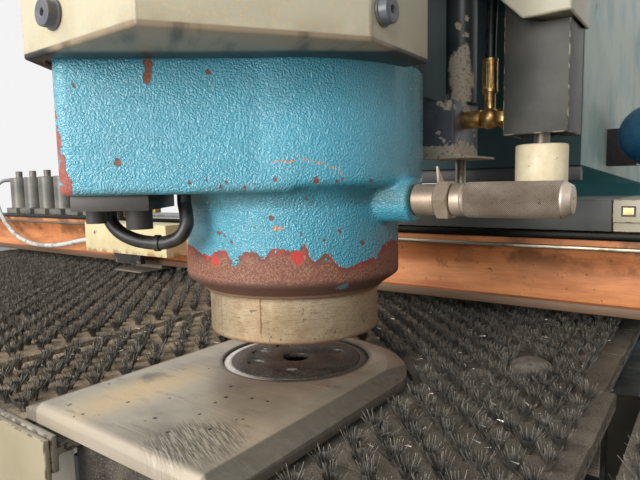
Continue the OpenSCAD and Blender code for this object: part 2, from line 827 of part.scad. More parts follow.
// Plunger with its foot
module plunger_pin() color([0.3, 0.3, 0.28]) at_die() {
    bar_z_at(tube_x, tube_y, 128, shelf_z - 8, plunger_r);
    bar_z_at(tube_x, tube_y, 121, 128, 11);
}

module air_fitting() color([0.75, 0.58, 0.28]) at_die() {
    centre_x = hose_route[0][0];
    bar_x(tube_x - 9, centre_x + 16, fitting_y, fitting_z, 3.9);
    bar_x(tube_x + 9, centre_x - 7, fitting_y, fitting_z, 7.5);
    translate([centre_x, fitting_y, fitting_z]) sphere(r = 9);
    translate([centre_x + 8, fitting_y, fitting_z]) rotate([0, 90, 0])
        cylinder(r = 8, h = 7, $fn = 6);
    // Neck and ferrule of the hose
    bar_z_at(centre_x, fitting_y, fitting_z, 206, 4.5);
    bar_z_at(centre_x, fitting_y, 206, hose_route[0][2], 6);
}

module air_hose() color([0.12, 0.13, 0.13]) at_die()
    swept(smooth_route(hose_route), 4.8, [0, 1, 0]);

module index_cable() color([0.08, 0.08, 0.09]) at_die() rotate([0, 0, housing_turn])
    swept(index_route, 4.5, [0, 1, 0], 8);

// Covers of the upper arm

module arm_cover() color([0.86, 0.82, 0.71]) at_die() {
    z0 = shelf_z + 90;
    top = hood_top;
    difference() {
        block(-hood_half, hood_half, hood_back + 0.5, arm_front, z0, top);
        block(-hood_half + sheet, hood_half - sheet, hood_back - 1, arm_front + 1, z0 - 1, top - sheet);
    }
}

// Electrical cabinet behind the column

module cabinet() color([0.84, 0.82, 0.74]) at_die() {
    y1 = rear_reach - door_thick - run_gap;
    difference() {
        block(-cabinet_half, cabinet_half, column_back, y1, cabinet_bottom, arm_top - 30);
        block(-cabinet_half + sheet, cabinet_half - sheet, column_back + sheet, y1 + 1,
            cabinet_bottom + sheet, arm_top - 30 - sheet);
        bar_x(cabinet_half - sheet - 1, cabinet_half + 1, switch_y, switch_z, 8 + run_gap);
    }
    // Mounting panel inside
    block(-cabinet_half + 30, cabinet_half - 30, column_back + sheet, column_back + 22,
        cabinet_bottom + 40, arm_top - 80);
}

module cabinet_door() color([0.84, 0.82, 0.74]) at_die() {
    y0 = rear_reach - door_thick;
    difference() {
        block(-cabinet_half, cabinet_half, y0, rear_reach, cabinet_bottom, arm_top - 30);
        block(-cabinet_half + sheet, cabinet_half - sheet, y0 - 1, rear_reach - sheet,
            cabinet_bottom + sheet, arm_top - 30 - sheet);
        // Recess for the latch
        block(cabinet_half - 60, cabinet_half - 35, rear_reach - sheet - 1, rear_reach + 1, -60, 60);
    }
    difference() {
        block(cabinet_half - 62, cabinet_half - 33, y0 + 2, rear_reach - sheet, -62, 62);
        block(cabinet_half - 60, cabinet_half - 35, y0 + 5, rear_reach + 1, -60, 60);
    }
}

module main_switch() color([0.72, 0.12, 0.1]) at_die() {
    bar_x(cabinet_half - 3 * sheet, cabinet_half + run_gap, switch_y, switch_z, 8);
    bar_x(cabinet_half + run_gap, cabinet_half + 12, switch_y, switch_z, 30);
    block(cabinet_half + 12, cabinet_half + 34, switch_y - 7, switch_y + 7,
        switch_z - 28, switch_z + 28);
}

// Operator's pendant on its boom

module pendant_boom() color([0.84, 0.82, 0.74]) at_die() {
    bar_z_at(0, boom_y, arm_top + run_gap, arm_top + 20, 70);
    bar_z_at(0, boom_y, arm_top + 20, boom_z + 40, 45);
    bar_x(30, boom_len, boom_y, boom_z, boom_r);
    bar_z_at(boom_len, boom_y, pendant_z + pendant_h + 20 + run_gap, boom_z + 34, boom_r + 6);
}

module pendant() color([0.8, 0.79, 0.72]) at_die() {
    x0 = boom_len - pendant_w / 2;
    y0 = boom_y - pendant_d / 2;
    bar_z_at(boom_len, boom_y, pendant_z + pendant_h, pendant_z + pendant_h + 20, 35);
    difference() {
        block(x0, x0 + pendant_w, y0, y0 + pendant_d, pendant_z, pendant_z + pendant_h);
        // Recess of the screen, and the bore of the stop button
        block(x0 + 30, x0 + 220, y0 - 1, y0 + 6, pendant_z + 90, pendant_z + pendant_h - 25);
        translate([x0 + pendant_w - 55, y0 + 40, pendant_z + 50]) rotate([90, 0, 0])
            cylinder(r = 10.3, h = 50);
    }
    // Keys under the screen
    for (i = [0:5]) for (j = [0:1])
        block(x0 + 40 + i * 28, x0 + 58 + i * 28, y0 - 3, y0, pendant_z + 22 + j * 28,
            pendant_z + 40 + j * 28);
}

module e_stop_button() color([0.75, 0.1, 0.08]) at_die()
    translate([boom_len + pendant_w / 2 - 55, boom_y - pendant_d / 2, pendant_z + 50])
        rotate([90, 0, 0]) {
            translate([0, 0, -30]) cylinder(r = 10, h = 38);
            translate([0, 0, 8]) cylinder(r = 20, h = 12);
        }

// Oil bowl on the arm's right side
module oil_bowl() color([0.1, 0.35, 0.55]) at_die() {
    bowl_r = 39;
    y = 500;
    block(frame_half, frame_half + 35, y - 13, y + 40, 152, 200);
    translate([frame_half + 50, y, 190]) sphere(r = bowl_r);
}

// Side tables on their gussets

module wing(s) {
    if (s > 0) children();
    else mirror([1, 0, 0]) children();
}

module wing_frame(s) color([0.84, 0.81, 0.66]) at_die() wing(s) {
    block(wing_in, wing_out, -table_front + 5, wing_back + 5, pan_z, board_z);
    block(wing_in + 12, wing_out, wing_back + 5, beam_back, pan_z, board_z);
    block(wing_in, wing_out, -table_front, -table_front + 5, -110, -5);
    block(wing_out - 5, wing_out, -table_front + 5, beam_back, -110, pan_z);
    block(wing_out - 5, wing_out, -table_front + 5, beam_back, board_z, -5);
    block(wing_in + 20, wing_out - 5, beam_back - 5, beam_back, -110, pan_z);
}

module left_wing_frame() wing_frame(-1);
module right_wing_frame() wing_frame(1);

module wing_boards(s) color([0.42, 0.35, 0.28]) at_die() wing(s)
    difference() {
        block(wing_in, wing_out - 5, -table_front + 5, wing_back, board_z, -tuft_len);
        for (y = [-99:board_w:wing_back - 5])
            block(wing_in - 1, wing_out + 1, y, y + 1, board_z - 1, 1);
    }

module left_wing_boards() wing_boards(-1);
module right_wing_boards() wing_boards(1);

module wing_tufts(s) color([0.17, 0.18, 0.18]) at_die() wing(s)
    translate([0, 0, -tuft_len]) linear_extrude(tuft_len - 0.5) intersection() {
        tuft_rows(-table_front + 5, wing_back);
        translate([wing_in + 5, -table_front])
            square([wing_out - wing_in - 17, wing_back + table_front]);
    }

module left_wing_tufts() wing_tufts(-1);
module right_wing_tufts() wing_tufts(1);

module wing_gussets() color([0.45, 0.62, 0.64]) at_die() {
    x0 = frame_half + block_out;
    x1 = wing_in + 12;
    x2 = wing_out - 40;
    low = guide_levels[1] - guide_half - 8;
    high = pan_z - 44;
    for (s = [-1, 1]) wing(s) for (y = gusset_rows)
        along_y(y, y + gusset_thick) polygon([[x0, low], [x0, high], [x1, high], [x1, pan_z],
            [x2, pan_z], [x2, pan_z - 40], [x0 + 60, low]]);
}

module y_guide_blocks() color([0.5, 0.51, 0.52]) at_die()
    for (s = [-1, 1]) wing(s) for (y = gusset_rows) for (z = guide_levels)
        difference() {
            block(frame_half + 3, frame_half + block_out, y - 30, y - 30 + block_len,
                z - guide_half, z + guide_half);
            block(frame_half, frame_half + guide_h + run_gap, y - 31, y + block_len,
                z - guide_w / 2 - run_gap, z + guide_w / 2 + run_gap);
        }

// Cross beam and rail

module cross_beam() color([0.3, 0.31, 0.33]) at_die() {
    front = rail_back + way_proud;
    difference() {
        block(-beam_half, beam_half, front, beam_back, 20, beam_top);
        block(-beam_half - 1, beam_half + 1, front + 12, beam_back - 12, 32, beam_top - 12);
    }
    for (z = [34, 62]) block(-beam_half, beam_half, rail_back + run_gap, front, z, z + 14);
    for (s = [-1, 1]) for (x = [wing_in + 60, wing_out - 130])
        block(s * x - post_w / 2, s * x + post_w / 2, front, beam_back, board_z, 20);
}

module rail_beam() color([0.75, 0.45, 0.28]) at_die()
    along_x(-rail_half, rail_half) polygon(concat(
        [[rail_back, rail_z], [lip_y, rail_z], [lip_y, rail_z + 9]],
        [for (t = [0:0.125:1]) [lip_y + 8 + 9 * sin(180 * t) + 3 * t, rail_z + 9 + 50 * t]],
        [[lip_y + 11, rail_top - 7], [rail_back, rail_top - 7]]));

module rail_strips() color([0.62, 0.62, 0.6]) at_die() {
    block(-rail_half, rail_half, lip_y + 6, lip_y + 11, rail_z + 59, rail_z + 63);
    block(-rail_half, rail_half, lip_y + 9, lip_y + 30, rail_top - 7, rail_top);
}

module rail_cover() color([0.42, 0.42, 0.43]) at_die() {
    block(slab_start, slab_end, lip_y + 12, rail_back + 30, slab_z, slab_top);
    block(slab_start, slab_end, rail_back + 30, beam_back, beam_top, slab_top);
}

module reader_box() color([0.86, 0.82, 0.7]) at_die() {
    base_top = slab_z + 9;
    block(slab_end + 1, 300, lip_y + 12, rail_back + 30, slab_z, base_top);
    block(slab_end + 1, 300, lip_y + 8, rail_back + 30, base_top, slab_top);
    block(slab_end + 1, 300, rail_back + 30, beam_back, beam_top, slab_top);
}

// Sheet clamps: covered bodies on the rail with lower plates, and swinging jaws
module clamp_bodies() color([0.84, 0.8, 0.66]) at_die()
    for (x = clamp_x) {
        difference() {
            block(x - clamp_w / 2, x + clamp_w / 2, clamp_front, lip_y + 6, clamp_low, clamp_top);
            block(x - jaw_w / 2 - 1, x + jaw_w / 2 + 1, clamp_front + sheet, lip_y - 1,
                clamp_low - 1, hinge_z + 13);
        }
        // Raised corner of the cover's front
        along_y(clamp_front, clamp_front + sheet) polygon([[x - 52, clamp_top - 8],
            [x - 49, clamp_top + 10], [x - 45, clamp_top + 16.5], [x - 41, clamp_top + 15],
            [x - 22, clamp_top - 8]]);
        bar_x(x - jaw_w / 2 - 2, x + jaw_w / 2 + 2, lip_y - 9, hinge_z, pin_r - rod_fit);
        block(x - jaw_w / 2, x + jaw_w / 2, lip_y - 40, lip_y + 20, 0.4, 2.6);
        block(x - jaw_w / 2, x + jaw_w / 2, lip_y, lip_y + 20, 2.6, rail_z);
    }

module clamp_jaw(x) color([0.28, 0.28, 0.29]) at_die()
    difference() {
        union() {
            block(x - jaw_w / 2, x + jaw_w / 2, lip_y - 40, lip_y - 9, hinge_z - 7, hinge_z + 7);
            bar_x(x - jaw_w / 2, x + jaw_w / 2, lip_y - 9, hinge_z, 7);
            block(x - jaw_w / 2, x + jaw_w / 2, lip_y - 40, lip_y - 30, 14, hinge_z);
        }
        bar_x(x - jaw_w, x + jaw_w, lip_y - 9, hinge_z, pin_r);
    }

module left_clamp_jaw() clamp_jaw(clamp_x[0]);
module right_clamp_jaw() clamp_jaw(clamp_x[1]);

// Tool magazine on the left end of the rail
module tool_holders() color([0.33, 0.33, 0.32]) at_die()
    for (i = [0:holder_count - 1]) {
        x = holder_x - i * holder_pitch;
        block(x - 22, x + 22, lip_y + 12, rail_back, rail_top, rail_top + 12);
        bar_z_at(x, holder_y, rail_top + 12, rail_top + 78, holder_r);
        bar_z_at(x, holder_y, rail_top + 78, rail_top + 92, 7);
    }

module rail_cable() color([0.72, 0.73, 0.72]) at_die()
    swept(smooth_route(rail_route), 4.5, [0, 1, 0.05], 8);

c_frame();
levelling_feet();
front_cover();
slug_drawer();
die_bolster();
die_plate();
die_ring();
die_disc();
table_bed();
table_apron();
centre_boards();
centre_tufts();
y_guide_rails();
y_drive_housing();
head_casting();
hood();
hood_screws();
ram_cylinder();
ram();
punch();
stripper_sleeve();
grip_handle();
grip_nut();
index_bracket();
hold_down_housing();
hold_down_cover();
hold_down_rod();
hold_down_pad();
plunger_tube();
plunger_block();
plunger_pin();
air_fitting();
air_hose();
arm_cover();
cabinet();
cabinet_door();
main_switch();
pendant_boom();
pendant();
e_stop_button();
oil_bowl();
left_wing_frame();
right_wing_frame();
left_wing_boards();
right_wing_boards();
left_wing_tufts();
right_wing_tufts();
wing_gussets();
y_guide_blocks();
cross_beam();
rail_cover();
reader_box();
rail_beam();
rail_strips();
clamp_bodies();
left_clamp_jaw();
right_clamp_jaw();
tool_holders();
index_cable();
rail_cable();
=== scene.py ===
import math
import random

import bmesh
import bpy
from mathutils import Matrix, Vector


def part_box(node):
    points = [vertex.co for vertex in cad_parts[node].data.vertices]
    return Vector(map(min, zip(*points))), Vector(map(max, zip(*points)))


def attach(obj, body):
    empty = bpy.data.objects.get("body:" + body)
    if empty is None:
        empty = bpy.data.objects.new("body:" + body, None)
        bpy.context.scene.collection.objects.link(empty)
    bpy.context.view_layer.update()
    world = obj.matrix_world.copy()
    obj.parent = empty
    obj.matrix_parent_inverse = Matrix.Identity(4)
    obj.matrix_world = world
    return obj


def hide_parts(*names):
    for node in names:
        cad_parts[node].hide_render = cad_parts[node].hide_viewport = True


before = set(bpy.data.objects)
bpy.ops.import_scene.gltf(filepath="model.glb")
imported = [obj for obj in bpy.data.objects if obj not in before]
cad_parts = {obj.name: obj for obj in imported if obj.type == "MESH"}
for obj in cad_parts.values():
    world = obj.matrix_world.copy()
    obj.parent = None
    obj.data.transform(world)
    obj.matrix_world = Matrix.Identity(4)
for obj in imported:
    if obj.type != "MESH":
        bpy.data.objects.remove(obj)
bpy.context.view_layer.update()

# The stand: a pale floor under soft studio light, seen from where the operator bends down
# to look under the punching head. The view is set against the photograph.
scene = bpy.context.scene
scene.view_settings.view_transform = "Standard"

punch_low, punch_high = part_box("ram")
punch = Vector(((punch_low[0] + punch_high[0]) / 2, (punch_low[1] + punch_high[1]) / 2,
                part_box("die_plate")[1][2]))
eye = punch + Vector((0.2631, -0.3223, 0.1328))
eye_turn, eye_dip, eye_roll = math.radians(36.41), math.radians(5.74), math.radians(-1.04)


def stood(name, data):
    """A new object in the scene."""
    made = bpy.data.objects.new(name, data)
    scene.collection.objects.link(made)
    return made


camera = stood("camera", bpy.data.cameras.new("camera"))
camera.data.sensor_width = 36.0
camera.data.lens = 30.46
camera.data.clip_start = 0.02
camera.data.clip_end = 60.0
camera.matrix_world = (Matrix.Translation(eye) @ Matrix.Rotation(eye_turn, 4, "Z")
                       @ Matrix.Rotation(math.pi / 2 - eye_dip, 4, "X")
                       @ Matrix.Rotation(eye_roll, 4, "Z"))
scene.camera = camera


class Wire:
    """What an output of a shader node gives. It adds, multiplies and compares as a number does."""

    def __init__(self, socket):
        self.socket, self.tree = socket, socket.id_data

    def maths(self, operation, *values):
        return add(self.tree, "Math", values, operation=operation)

    def __add__(self, other):
        return self.maths("ADD", self, other)

    def __sub__(self, other):
        return self.maths("SUBTRACT", self, other)

    def __rsub__(self, other):
        return self.maths("SUBTRACT", other, self)

    def __mul__(self, other):
        return self.maths("MULTIPLY", self, other)

    def __or__(self, other):
        return self.maths("MAXIMUM", self, other)

    def __and__(self, other):
        return self.maths("MINIMUM", self, other)

    def __abs__(self):
        return self.maths("ABSOLUTE", self)

    def __getattr__(self, axis):
        """The x, y or z of a place."""
        if axis not in ("x", "y", "z"):
            raise AttributeError(axis)
        return add(self.tree, "SeparateXYZ", (self,), axis.upper())


def plug(value, socket):
    """Puts a plain value or a wire on a socket."""
    if isinstance(value, Wire):
        socket.id_data.links.new(value.socket, socket)
    else:
        socket.default_value = value


def add(tree, kind, sockets=(), out=0, **settings):
    """A shader node in a tree, given as the wire of one of its outputs."""
    made = tree.nodes.new("ShaderNode" + kind)
    for name, value in settings.items():
        setattr(made, name, value)
    for name, value in sockets.items() if isinstance(sockets, dict) else enumerate(sockets):
        plug(value, made.inputs[name])
    return Wire(made.outputs[out]) if made.outputs else None


scene.world = bpy.data.worlds.new("studio")
scene.world.use_nodes = True
sky = scene.world.node_tree
sky.nodes.clear()
seen = add(sky, "LightPath", out="Is Camera Ray") | add(sky, "LightPath", out="Is Glossy Ray")
seen = seen | add(sky, "LightPath", out="Is Transmission Ray")
lit = add(sky, "Background", {"Color": (0.93, 0.96, 1.0, 1.0), "Strength": 0.34})
plain = add(sky, "Background", {"Color": (1.0, 1.0, 1.0, 1.0), "Strength": 0.9})
add(sky, "OutputWorld", (add(sky, "MixShader", (seen, lit, plain)),))


def softbox(name, place, target, size, watts, colour):
    """A square area lamp that faces a target, both measured from the punch."""
    lamp = bpy.data.lights.new(name, "AREA")
    lamp.size = size
    lamp.energy = watts
    lamp.color = colour
    place, target = punch + Vector(place), punch + Vector(target)
    turned = (target - place).to_track_quat("-Z", "Y").to_matrix().to_4x4()
    stood(name, lamp).matrix_world = Matrix.Translation(place) @ turned


daylight = (1.0, 0.97, 0.93)
softbox("window_lamp", (-0.5, -2.8, 0.6), (0, 0, 0), 1.3, 76, daylight)
softbox("high_lamp", (-1.1, -1.3, 1.7), (0, 0, 0), 1.2, 23, daylight)
softbox("side_lamp", (1.15, -2.4, 1.5), (0, 0, 0), 0.8, 18, (0.94, 0.97, 1.0))
softbox("low_lamp", (0.2, -1.5, 0.25), (0, 0, 0.1), 0.8, 3.0, daylight)

floor_bm = bmesh.new()
bmesh.ops.create_grid(floor_bm, x_segments=1, y_segments=1, size=14.0)
floor = stood("floor", bpy.data.meshes.new("floor"))
floor_bm.to_mesh(floor.data)
floor_bm.free()
floor_look = bpy.data.materials.new("floor")
floor_look.use_nodes = True
floor.data.materials.append(floor_look)


def finish_look(look, **sockets):
    """Puts plain values and wires on the inputs of a material's shader."""
    for name, value in sockets.items():
        plug(value, look.node_tree.nodes["Principled BSDF"].inputs[name.replace("_", " ")])


finish_look(floor_look, Base_Color=(0.78, 0.78, 0.77, 1), Roughness=0.8)

# Three loose lines: the black cable that loops under the drive housing, the light grey cable
# from the sheet clamp to the tool magazine, and the black air hose of the hold-down. They are
# round plastic or rubber sheaths, pushed into their fittings and held by nothing in between.


def tint(red, green, blue):
    """A colour written as the eye reads it, from 0 to 255, for a shader."""
    def linear(value):
        value /= 255
        return value / 12.92 if value <= 0.04045 else ((value + 0.055) / 1.055) ** 2.4
    return (linear(red), linear(green), linear(blue), 1.0)


def blend(mask, first, second):
    """The first colour where the mask is 0 and the second where it is 1."""
    return add(mask.tree, "Mix", {0: mask, 6: first, 7: second}, 2, data_type="RGBA")


def rise(value, low, high):
    """0 below low, 1 above high, and a smooth rise between them."""
    return add(value.tree, "MapRange", {"Value": value, "From Min": low, "From Max": high},
               interpolation_type="SMOOTHSTEP")


def noise(where, scale, detail=2.0, roughness=0.5, out="Fac"):
    return add(where.tree, "TexNoise", {"Vector": where, "Scale": scale, "Detail": detail,
                                        "Roughness": roughness}, out)


def bumped(height, strength, distance):
    return add(height.tree, "Bump", {"Height": height, "Strength": strength, "Distance": distance})


def start_look(name):
    """A new material, and the wire of places measured from the punch."""
    look = bpy.data.materials.new(name)
    look.use_nodes = True
    place = add(look.node_tree, "TexCoord", out="Object")
    return look, add(look.node_tree, "Mapping", {"Vector": place, "Location": -punch})


def new_effect(name, outputs, **inputs):
    """A shader node group: the group, its inputs as wires, and its outputs' sockets.

    An input is given with its kind or, where it is a number, with its default.
    """
    group = bpy.data.node_groups.new(name, "ShaderNodeTree")
    for socket, value in inputs.items():
        kind = value if isinstance(value, str) else "Float"
        made = group.interface.new_socket(socket.replace("_", " "), in_out="INPUT",
                                          socket_type="NodeSocket" + kind)
        if kind == "Float":
            made.default_value = value
    for socket in outputs:
        kind = "Color" if socket == "Color" else "Float"
        group.interface.new_socket(socket, in_out="OUTPUT", socket_type="NodeSocket" + kind)
    taken = {made.name: Wire(made) for made in group.nodes.new("NodeGroupInput").outputs}
    return group, taken, group.nodes.new("NodeGroupOutput").inputs


def use(group, **sockets):
    """Places a node group in a material with its own values, and gives its outputs as wires."""
    made = sockets["Vector"].tree.nodes.new("ShaderNodeGroup")
    made.node_tree = group
    for name, value in sockets.items():
        plug(value, made.inputs[name.replace("_", " ")])
    return {given.name: Wire(given) for given in made.outputs}


# Ragged patches: a coarse noise whose edge is broken up by a fine one
patches, taken, given = new_effect("ragged_patches", ("Mask",), Vector="Vector", Scale=40.0, Level=0.6,
                                   Softness=0.02)
broken = noise(taken["Vector"], taken["Scale"] * 7.0) * 0.16 + noise(taken["Vector"], taken["Scale"], 3.0, 0.55)
plug(rise(broken - 0.08, taken["Level"], taken["Level"] + taken["Softness"]), given["Mask"])


def patched(where, scale, level, softness):
    return use(patches, Vector=where, Scale=scale, Level=level, Softness=softness)["Mask"]


def sheath_look(name, colour, dusty, roughness):
    """A smooth or slightly dusty sheath, a little lighter where fingers have rubbed it."""
    look, where = start_look(name)
    finish_look(look, Base_Color=blend(patched(where, 60.0, 0.5, 0.12), colour, dusty), Roughness=roughness,
                Normal=bumped(noise(where, 900.0), 0.15, 0.0004))
    return look


def smooth_points(route):
    """Twelve points to each stretch of a route, on a smooth curve through its points."""
    ends = [route[0]] + route + [route[-1]]
    points = []
    for a, b, c, d in zip(ends, ends[1:], ends[2:], ends[3:]):
        for part in range(12):
            s = part / 12
            points.append(b + 0.5 * s * (c - a + s * (2 * a - 5 * b + 4 * c - d + s * (3 * b - 3 * c + d - a))))
    return points + [route[-1]]


def free_line(name, route, radius, body, look, node):
    """A round line of one open spline along a route in millimetres, which stands for a solid."""
    points = smooth_points([punch + Vector(point) / 1000 for point in route])
    curve = bpy.data.curves.new(name, "CURVE")
    curve.dimensions = "3D"
    curve.bevel_depth = radius
    curve.bevel_resolution = 5
    curve.use_fill_caps = True
    spline = curve.splines.new("POLY")
    spline.points.add(len(points) - 1)
    for target, point in zip(spline.points, points):
        target.co = (*point, 1.0)
    spline.use_smooth = True
    curve.materials.append(look)
    line = stood(name, curve)
    length = sum((b - a).length for a, b in zip(points, points[1:]))
    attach(line, body)
    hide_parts(node)
    return points


housing_turn = math.radians(219.9)
index_route = [(118, 60, 120), (118, 60, 113), (113, 61, 106), (104, 63, 101), (93, 65, 98.5), (82, 67, 98.5),
               (73, 68.5, 102), (68.5, 69, 109), (68.5, 67, 116), (70, 64, 123), (70, 64, 128.8)]
index_route = [Matrix.Rotation(housing_turn, 3, "Z") @ Vector(point) for point in index_route]
black_sheath = sheath_look("black_sheath", tint(20, 20, 22), tint(48, 46, 43), 0.42)
loop_points = free_line("index_cable_line", index_route, 0.0044, "frame", black_sheath,
                        "index_cable")

rail_route = [(-608, 224, 44), (-640, 224, 44), (-690, 223, 39), (-736, 219, 31), (-780, 217, 26),
              (-830, 217, 24), (-884, 218, 27), (-934, 220, 37), (-976, 222, 55), (-1012, 224, 80),
              (-1034, 226, 105), (-1044, 228, 128), (-1046, 234, 146), (-1046, 246, 156), (-1046, 262, 158)]
grey_sheath = sheath_look("grey_sheath", tint(206, 208, 206), tint(168, 164, 154), 0.45)
free_line("rail_cable_line", rail_route, 0.0044, "x_rail", grey_sheath, "rail_cable")

hose_route = [(106, 132, 234), (106, 132, 248), (106.5, 132, 266), (107, 132.5, 286), (106.5, 132.5, 306),
              (106, 132, 320), (106, 132, 330)]
free_line("air_hose_line", hose_route, 0.0046, "frame", black_sheath, "air_hose")


def add_piece(name, mesh, body, slot, look, *nodes, smooth=True, angle=35):
    """Makes an object of a mesh that is already in place, and lets it ride on its body."""
    if isinstance(mesh, bmesh.types.BMesh):
        bm, mesh = mesh, bpy.data.meshes.new(name)
        bm.to_mesh(mesh)
        bm.free()
    piece = stood(name, mesh)
    mesh.materials.append(look)
    if smooth:
        mesh.shade_smooth()
        mesh.set_sharp_from_angle(angle=math.radians(angle))
    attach(piece, body)
    if nodes:
        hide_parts(*nodes)


# Cable tie round the black loop: a nylon band 3 mm wide with its head below
tie_bm = bmesh.new()
tie_at = 4 * 12 + 6
tie_way = (loop_points[tie_at + 2] - loop_points[tie_at - 2]).to_track_quat("Z", "Y").to_matrix().to_4x4()
bmesh.ops.create_cone(tie_bm, segments=24, radius1=0.0053, radius2=0.0053, depth=0.003, cap_ends=True)
tie_head = bmesh.ops.create_cube(tie_bm, size=0.0045)["verts"]
bmesh.ops.translate(tie_bm, verts=tie_head, vec=(0.006, 0, 0))
tie_bm.transform(Matrix.Translation(loop_points[tie_at]) @ tie_way)
add_piece("cable_tie", tie_bm, "frame", "black_rubber", black_sheath)

# The welded frame: flame-cut side plates joined by webs into one box, with the nose plate and
# the shelf welded on. It is sprayed blue-green, and the paint has gone dull and dusty.

# Broad soft tones, as on paint that has faded or metal that has been handled
tones, taken, given = new_effect("soft_tones", ("Tone",), Vector="Vector", Scale=6.0)
plug(rise(noise(taken["Vector"], taken["Scale"], 4.0, 0.6), 0.3, 0.7), given["Tone"])


def toned(where, scale):
    return use(tones, Vector=where, Scale=scale)["Tone"]


# Old paint: tones, chips down to what lies under, and edges that are rubbed bare
old_paint, taken, given = new_effect("old_paint", ("Color", "Chips", "Height"), Vector="Vector", Paint="Color",
                                     Faded="Color", Under="Color", Chip_Scale=30.0, Chip_Level=0.7, Edge=0.0,
                                     Tone_Scale=5.0)
where = taken["Vector"]
chips = patched(where, taken["Chip Scale"], taken["Chip Level"], 0.012)
chips = chips | rise(noise(where, 140.0, 3.0), 0.46, 0.58) * taken["Edge"]
coat = blend(toned(where, taken["Tone Scale"]), taken["Paint"], taken["Faded"])
plug(blend(chips, coat, taken["Under"]), given["Color"])
plug(chips, given["Chips"])
plug(noise(where, 420.0, 1.0) * 0.35 - chips, given["Height"])


def mark(where, name):
    """What a mesh holds under a name."""
    return add(where.tree, "Attribute", out="Fac", attribute_name=name)


def painted(name, paint, faded, under, chip_scale=26.0, chip_level=0.72, tone_scale=4.0, roughness=0.42):
    """Sprayed paint on steel, with dust lying on what faces up."""
    look, where = start_look(name)
    old = use(old_paint, Vector=where, Paint=tint(*paint), Faded=tint(*faded), Under=tint(*under),
              Chip_Scale=chip_scale, Chip_Level=chip_level, Edge=mark(where, "edge"), Tone_Scale=tone_scale)
    up = add(where.tree, "NewGeometry", out="Normal").z
    lying = rise(up, 0.55, 0.95) * rise(noise(where, 18.0, 5.0), 0.3, 0.8) * 0.55
    finish_look(look, Base_Color=blend(lying, old["Color"], (0.5, 0.48, 0.42, 1)),
                Roughness=lying * 0.3 + (old["Chips"] * 0.25 + roughness),
                Normal=bumped(old["Height"], 0.35, 0.0003))
    return look


def dressed(node, body, slot, look, edge=0.001, segments=2, angle=30):
    """A copy of a solid with its doubles merged and its sharp edges broken; it stands for the solid."""
    bm = bmesh.new()
    bm.from_mesh(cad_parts[node].data)
    bmesh.ops.remove_doubles(bm, verts=bm.verts, dist=0.00002)
    bmesh.ops.dissolve_limit(bm, angle_limit=math.radians(0.6), verts=bm.verts, edges=bm.edges)
    sharp = [line for line in bm.edges if line.is_manifold and line.calc_face_angle() > math.radians(angle)]
    marked = bm.faces.layers.float.new("edge")
    rounded = bmesh.ops.bevel(bm, geom=sharp, offset=edge, offset_type="OFFSET", segments=segments,
                              profile=0.5, affect="EDGES", clamp_overlap=True, material=-1)["faces"]
    for face in rounded:
        face[marked] = 1.0
    add_piece(node + "_dressed", bm, body, slot, look, node, angle=40)


frame_paint = painted("frame_paint", (64, 134, 142), (98, 160, 164), (120, 116, 104), 14.0, 0.76, 3.5)


def base_colour(look):
    """What a finished material has on its colour, and its places."""
    nodes = look.node_tree.nodes
    colour = nodes["Principled BSDF"].inputs["Base Color"].links[0].from_socket
    return Wire(colour), Wire(nodes["Mapping"].outputs[0])


# Under the table the frame's paint is painted near black: painted shade, with oil in it. Behind the
# hold-down the arm's front is painted dark as shade, and the arm's side is pale with dust.
colour, where = base_colour(frame_paint)
cloud = noise(where, 16.0, 6.0)
low = rise(where.z, -0.004, -0.013) * rise(where.z, -0.5, -0.12)
near = rise(where.y, -0.3, -0.26) * rise(where.y, 1.0, 0.8)
# painted shade under the table, with oil in it
shade_and_oil_under_table = low * near * rise(cloud, 0.2, 0.5) * 0.9
# painted shade on the arm's front behind the hold-down
painted_shade_behind = rise(where.y, 0.346, 0.344) * rise(where.z, 0.05, 0.08) * rise(where.x, 0.1395, 0.1385) * 0.85
side = rise(where.x, 0.1385, 0.1395) * rise(where.z, 0.05, 0.08) * (rise(cloud, 0.3, 0.6) * 0.5 + 0.4)
colour = blend(shade_and_oil_under_table, colour, tint(22, 34, 34))
colour = blend(painted_shade_behind, colour, tint(26, 38, 37))
finish_look(frame_paint, Base_Color=blend(side, colour, tint(188, 196, 182)))
dressed("c_frame", "frame", "frame_paint", frame_paint, 0.002)
dark_foot = painted("foot_paint", (52, 54, 55), (76, 76, 74), (110, 104, 96), chip_level=0.66)
dressed("levelling_feet", "frame", "dark_steel", dark_foot, 0.0015)


def bar(middle, size):
    """A plain bar of a size round its middle, both in metres."""
    bm = bmesh.new()
    bmesh.ops.create_cube(bm, size=1.0)
    bm.transform(Matrix.Translation(middle) @ Matrix.Diagonal((*size, 1.0)))
    return bm


def broken_edges(bm, offset):
    """Rounds every edge."""
    bmesh.ops.bevel(bm, geom=bm.edges[:], offset=offset, offset_type="OFFSET", segments=2, profile=0.5,
                    affect="EDGES", material=-1)


# A dark cable duct screwed across under the arm's front edge
duct_bm = bar(punch + Vector((0, 0.341, 0.1415)), (0.276, 0.014, 0.017))
broken_edges(duct_bm, 0.0015)
add_piece("arm_duct", duct_bm, "frame", "dark_steel", dark_foot)

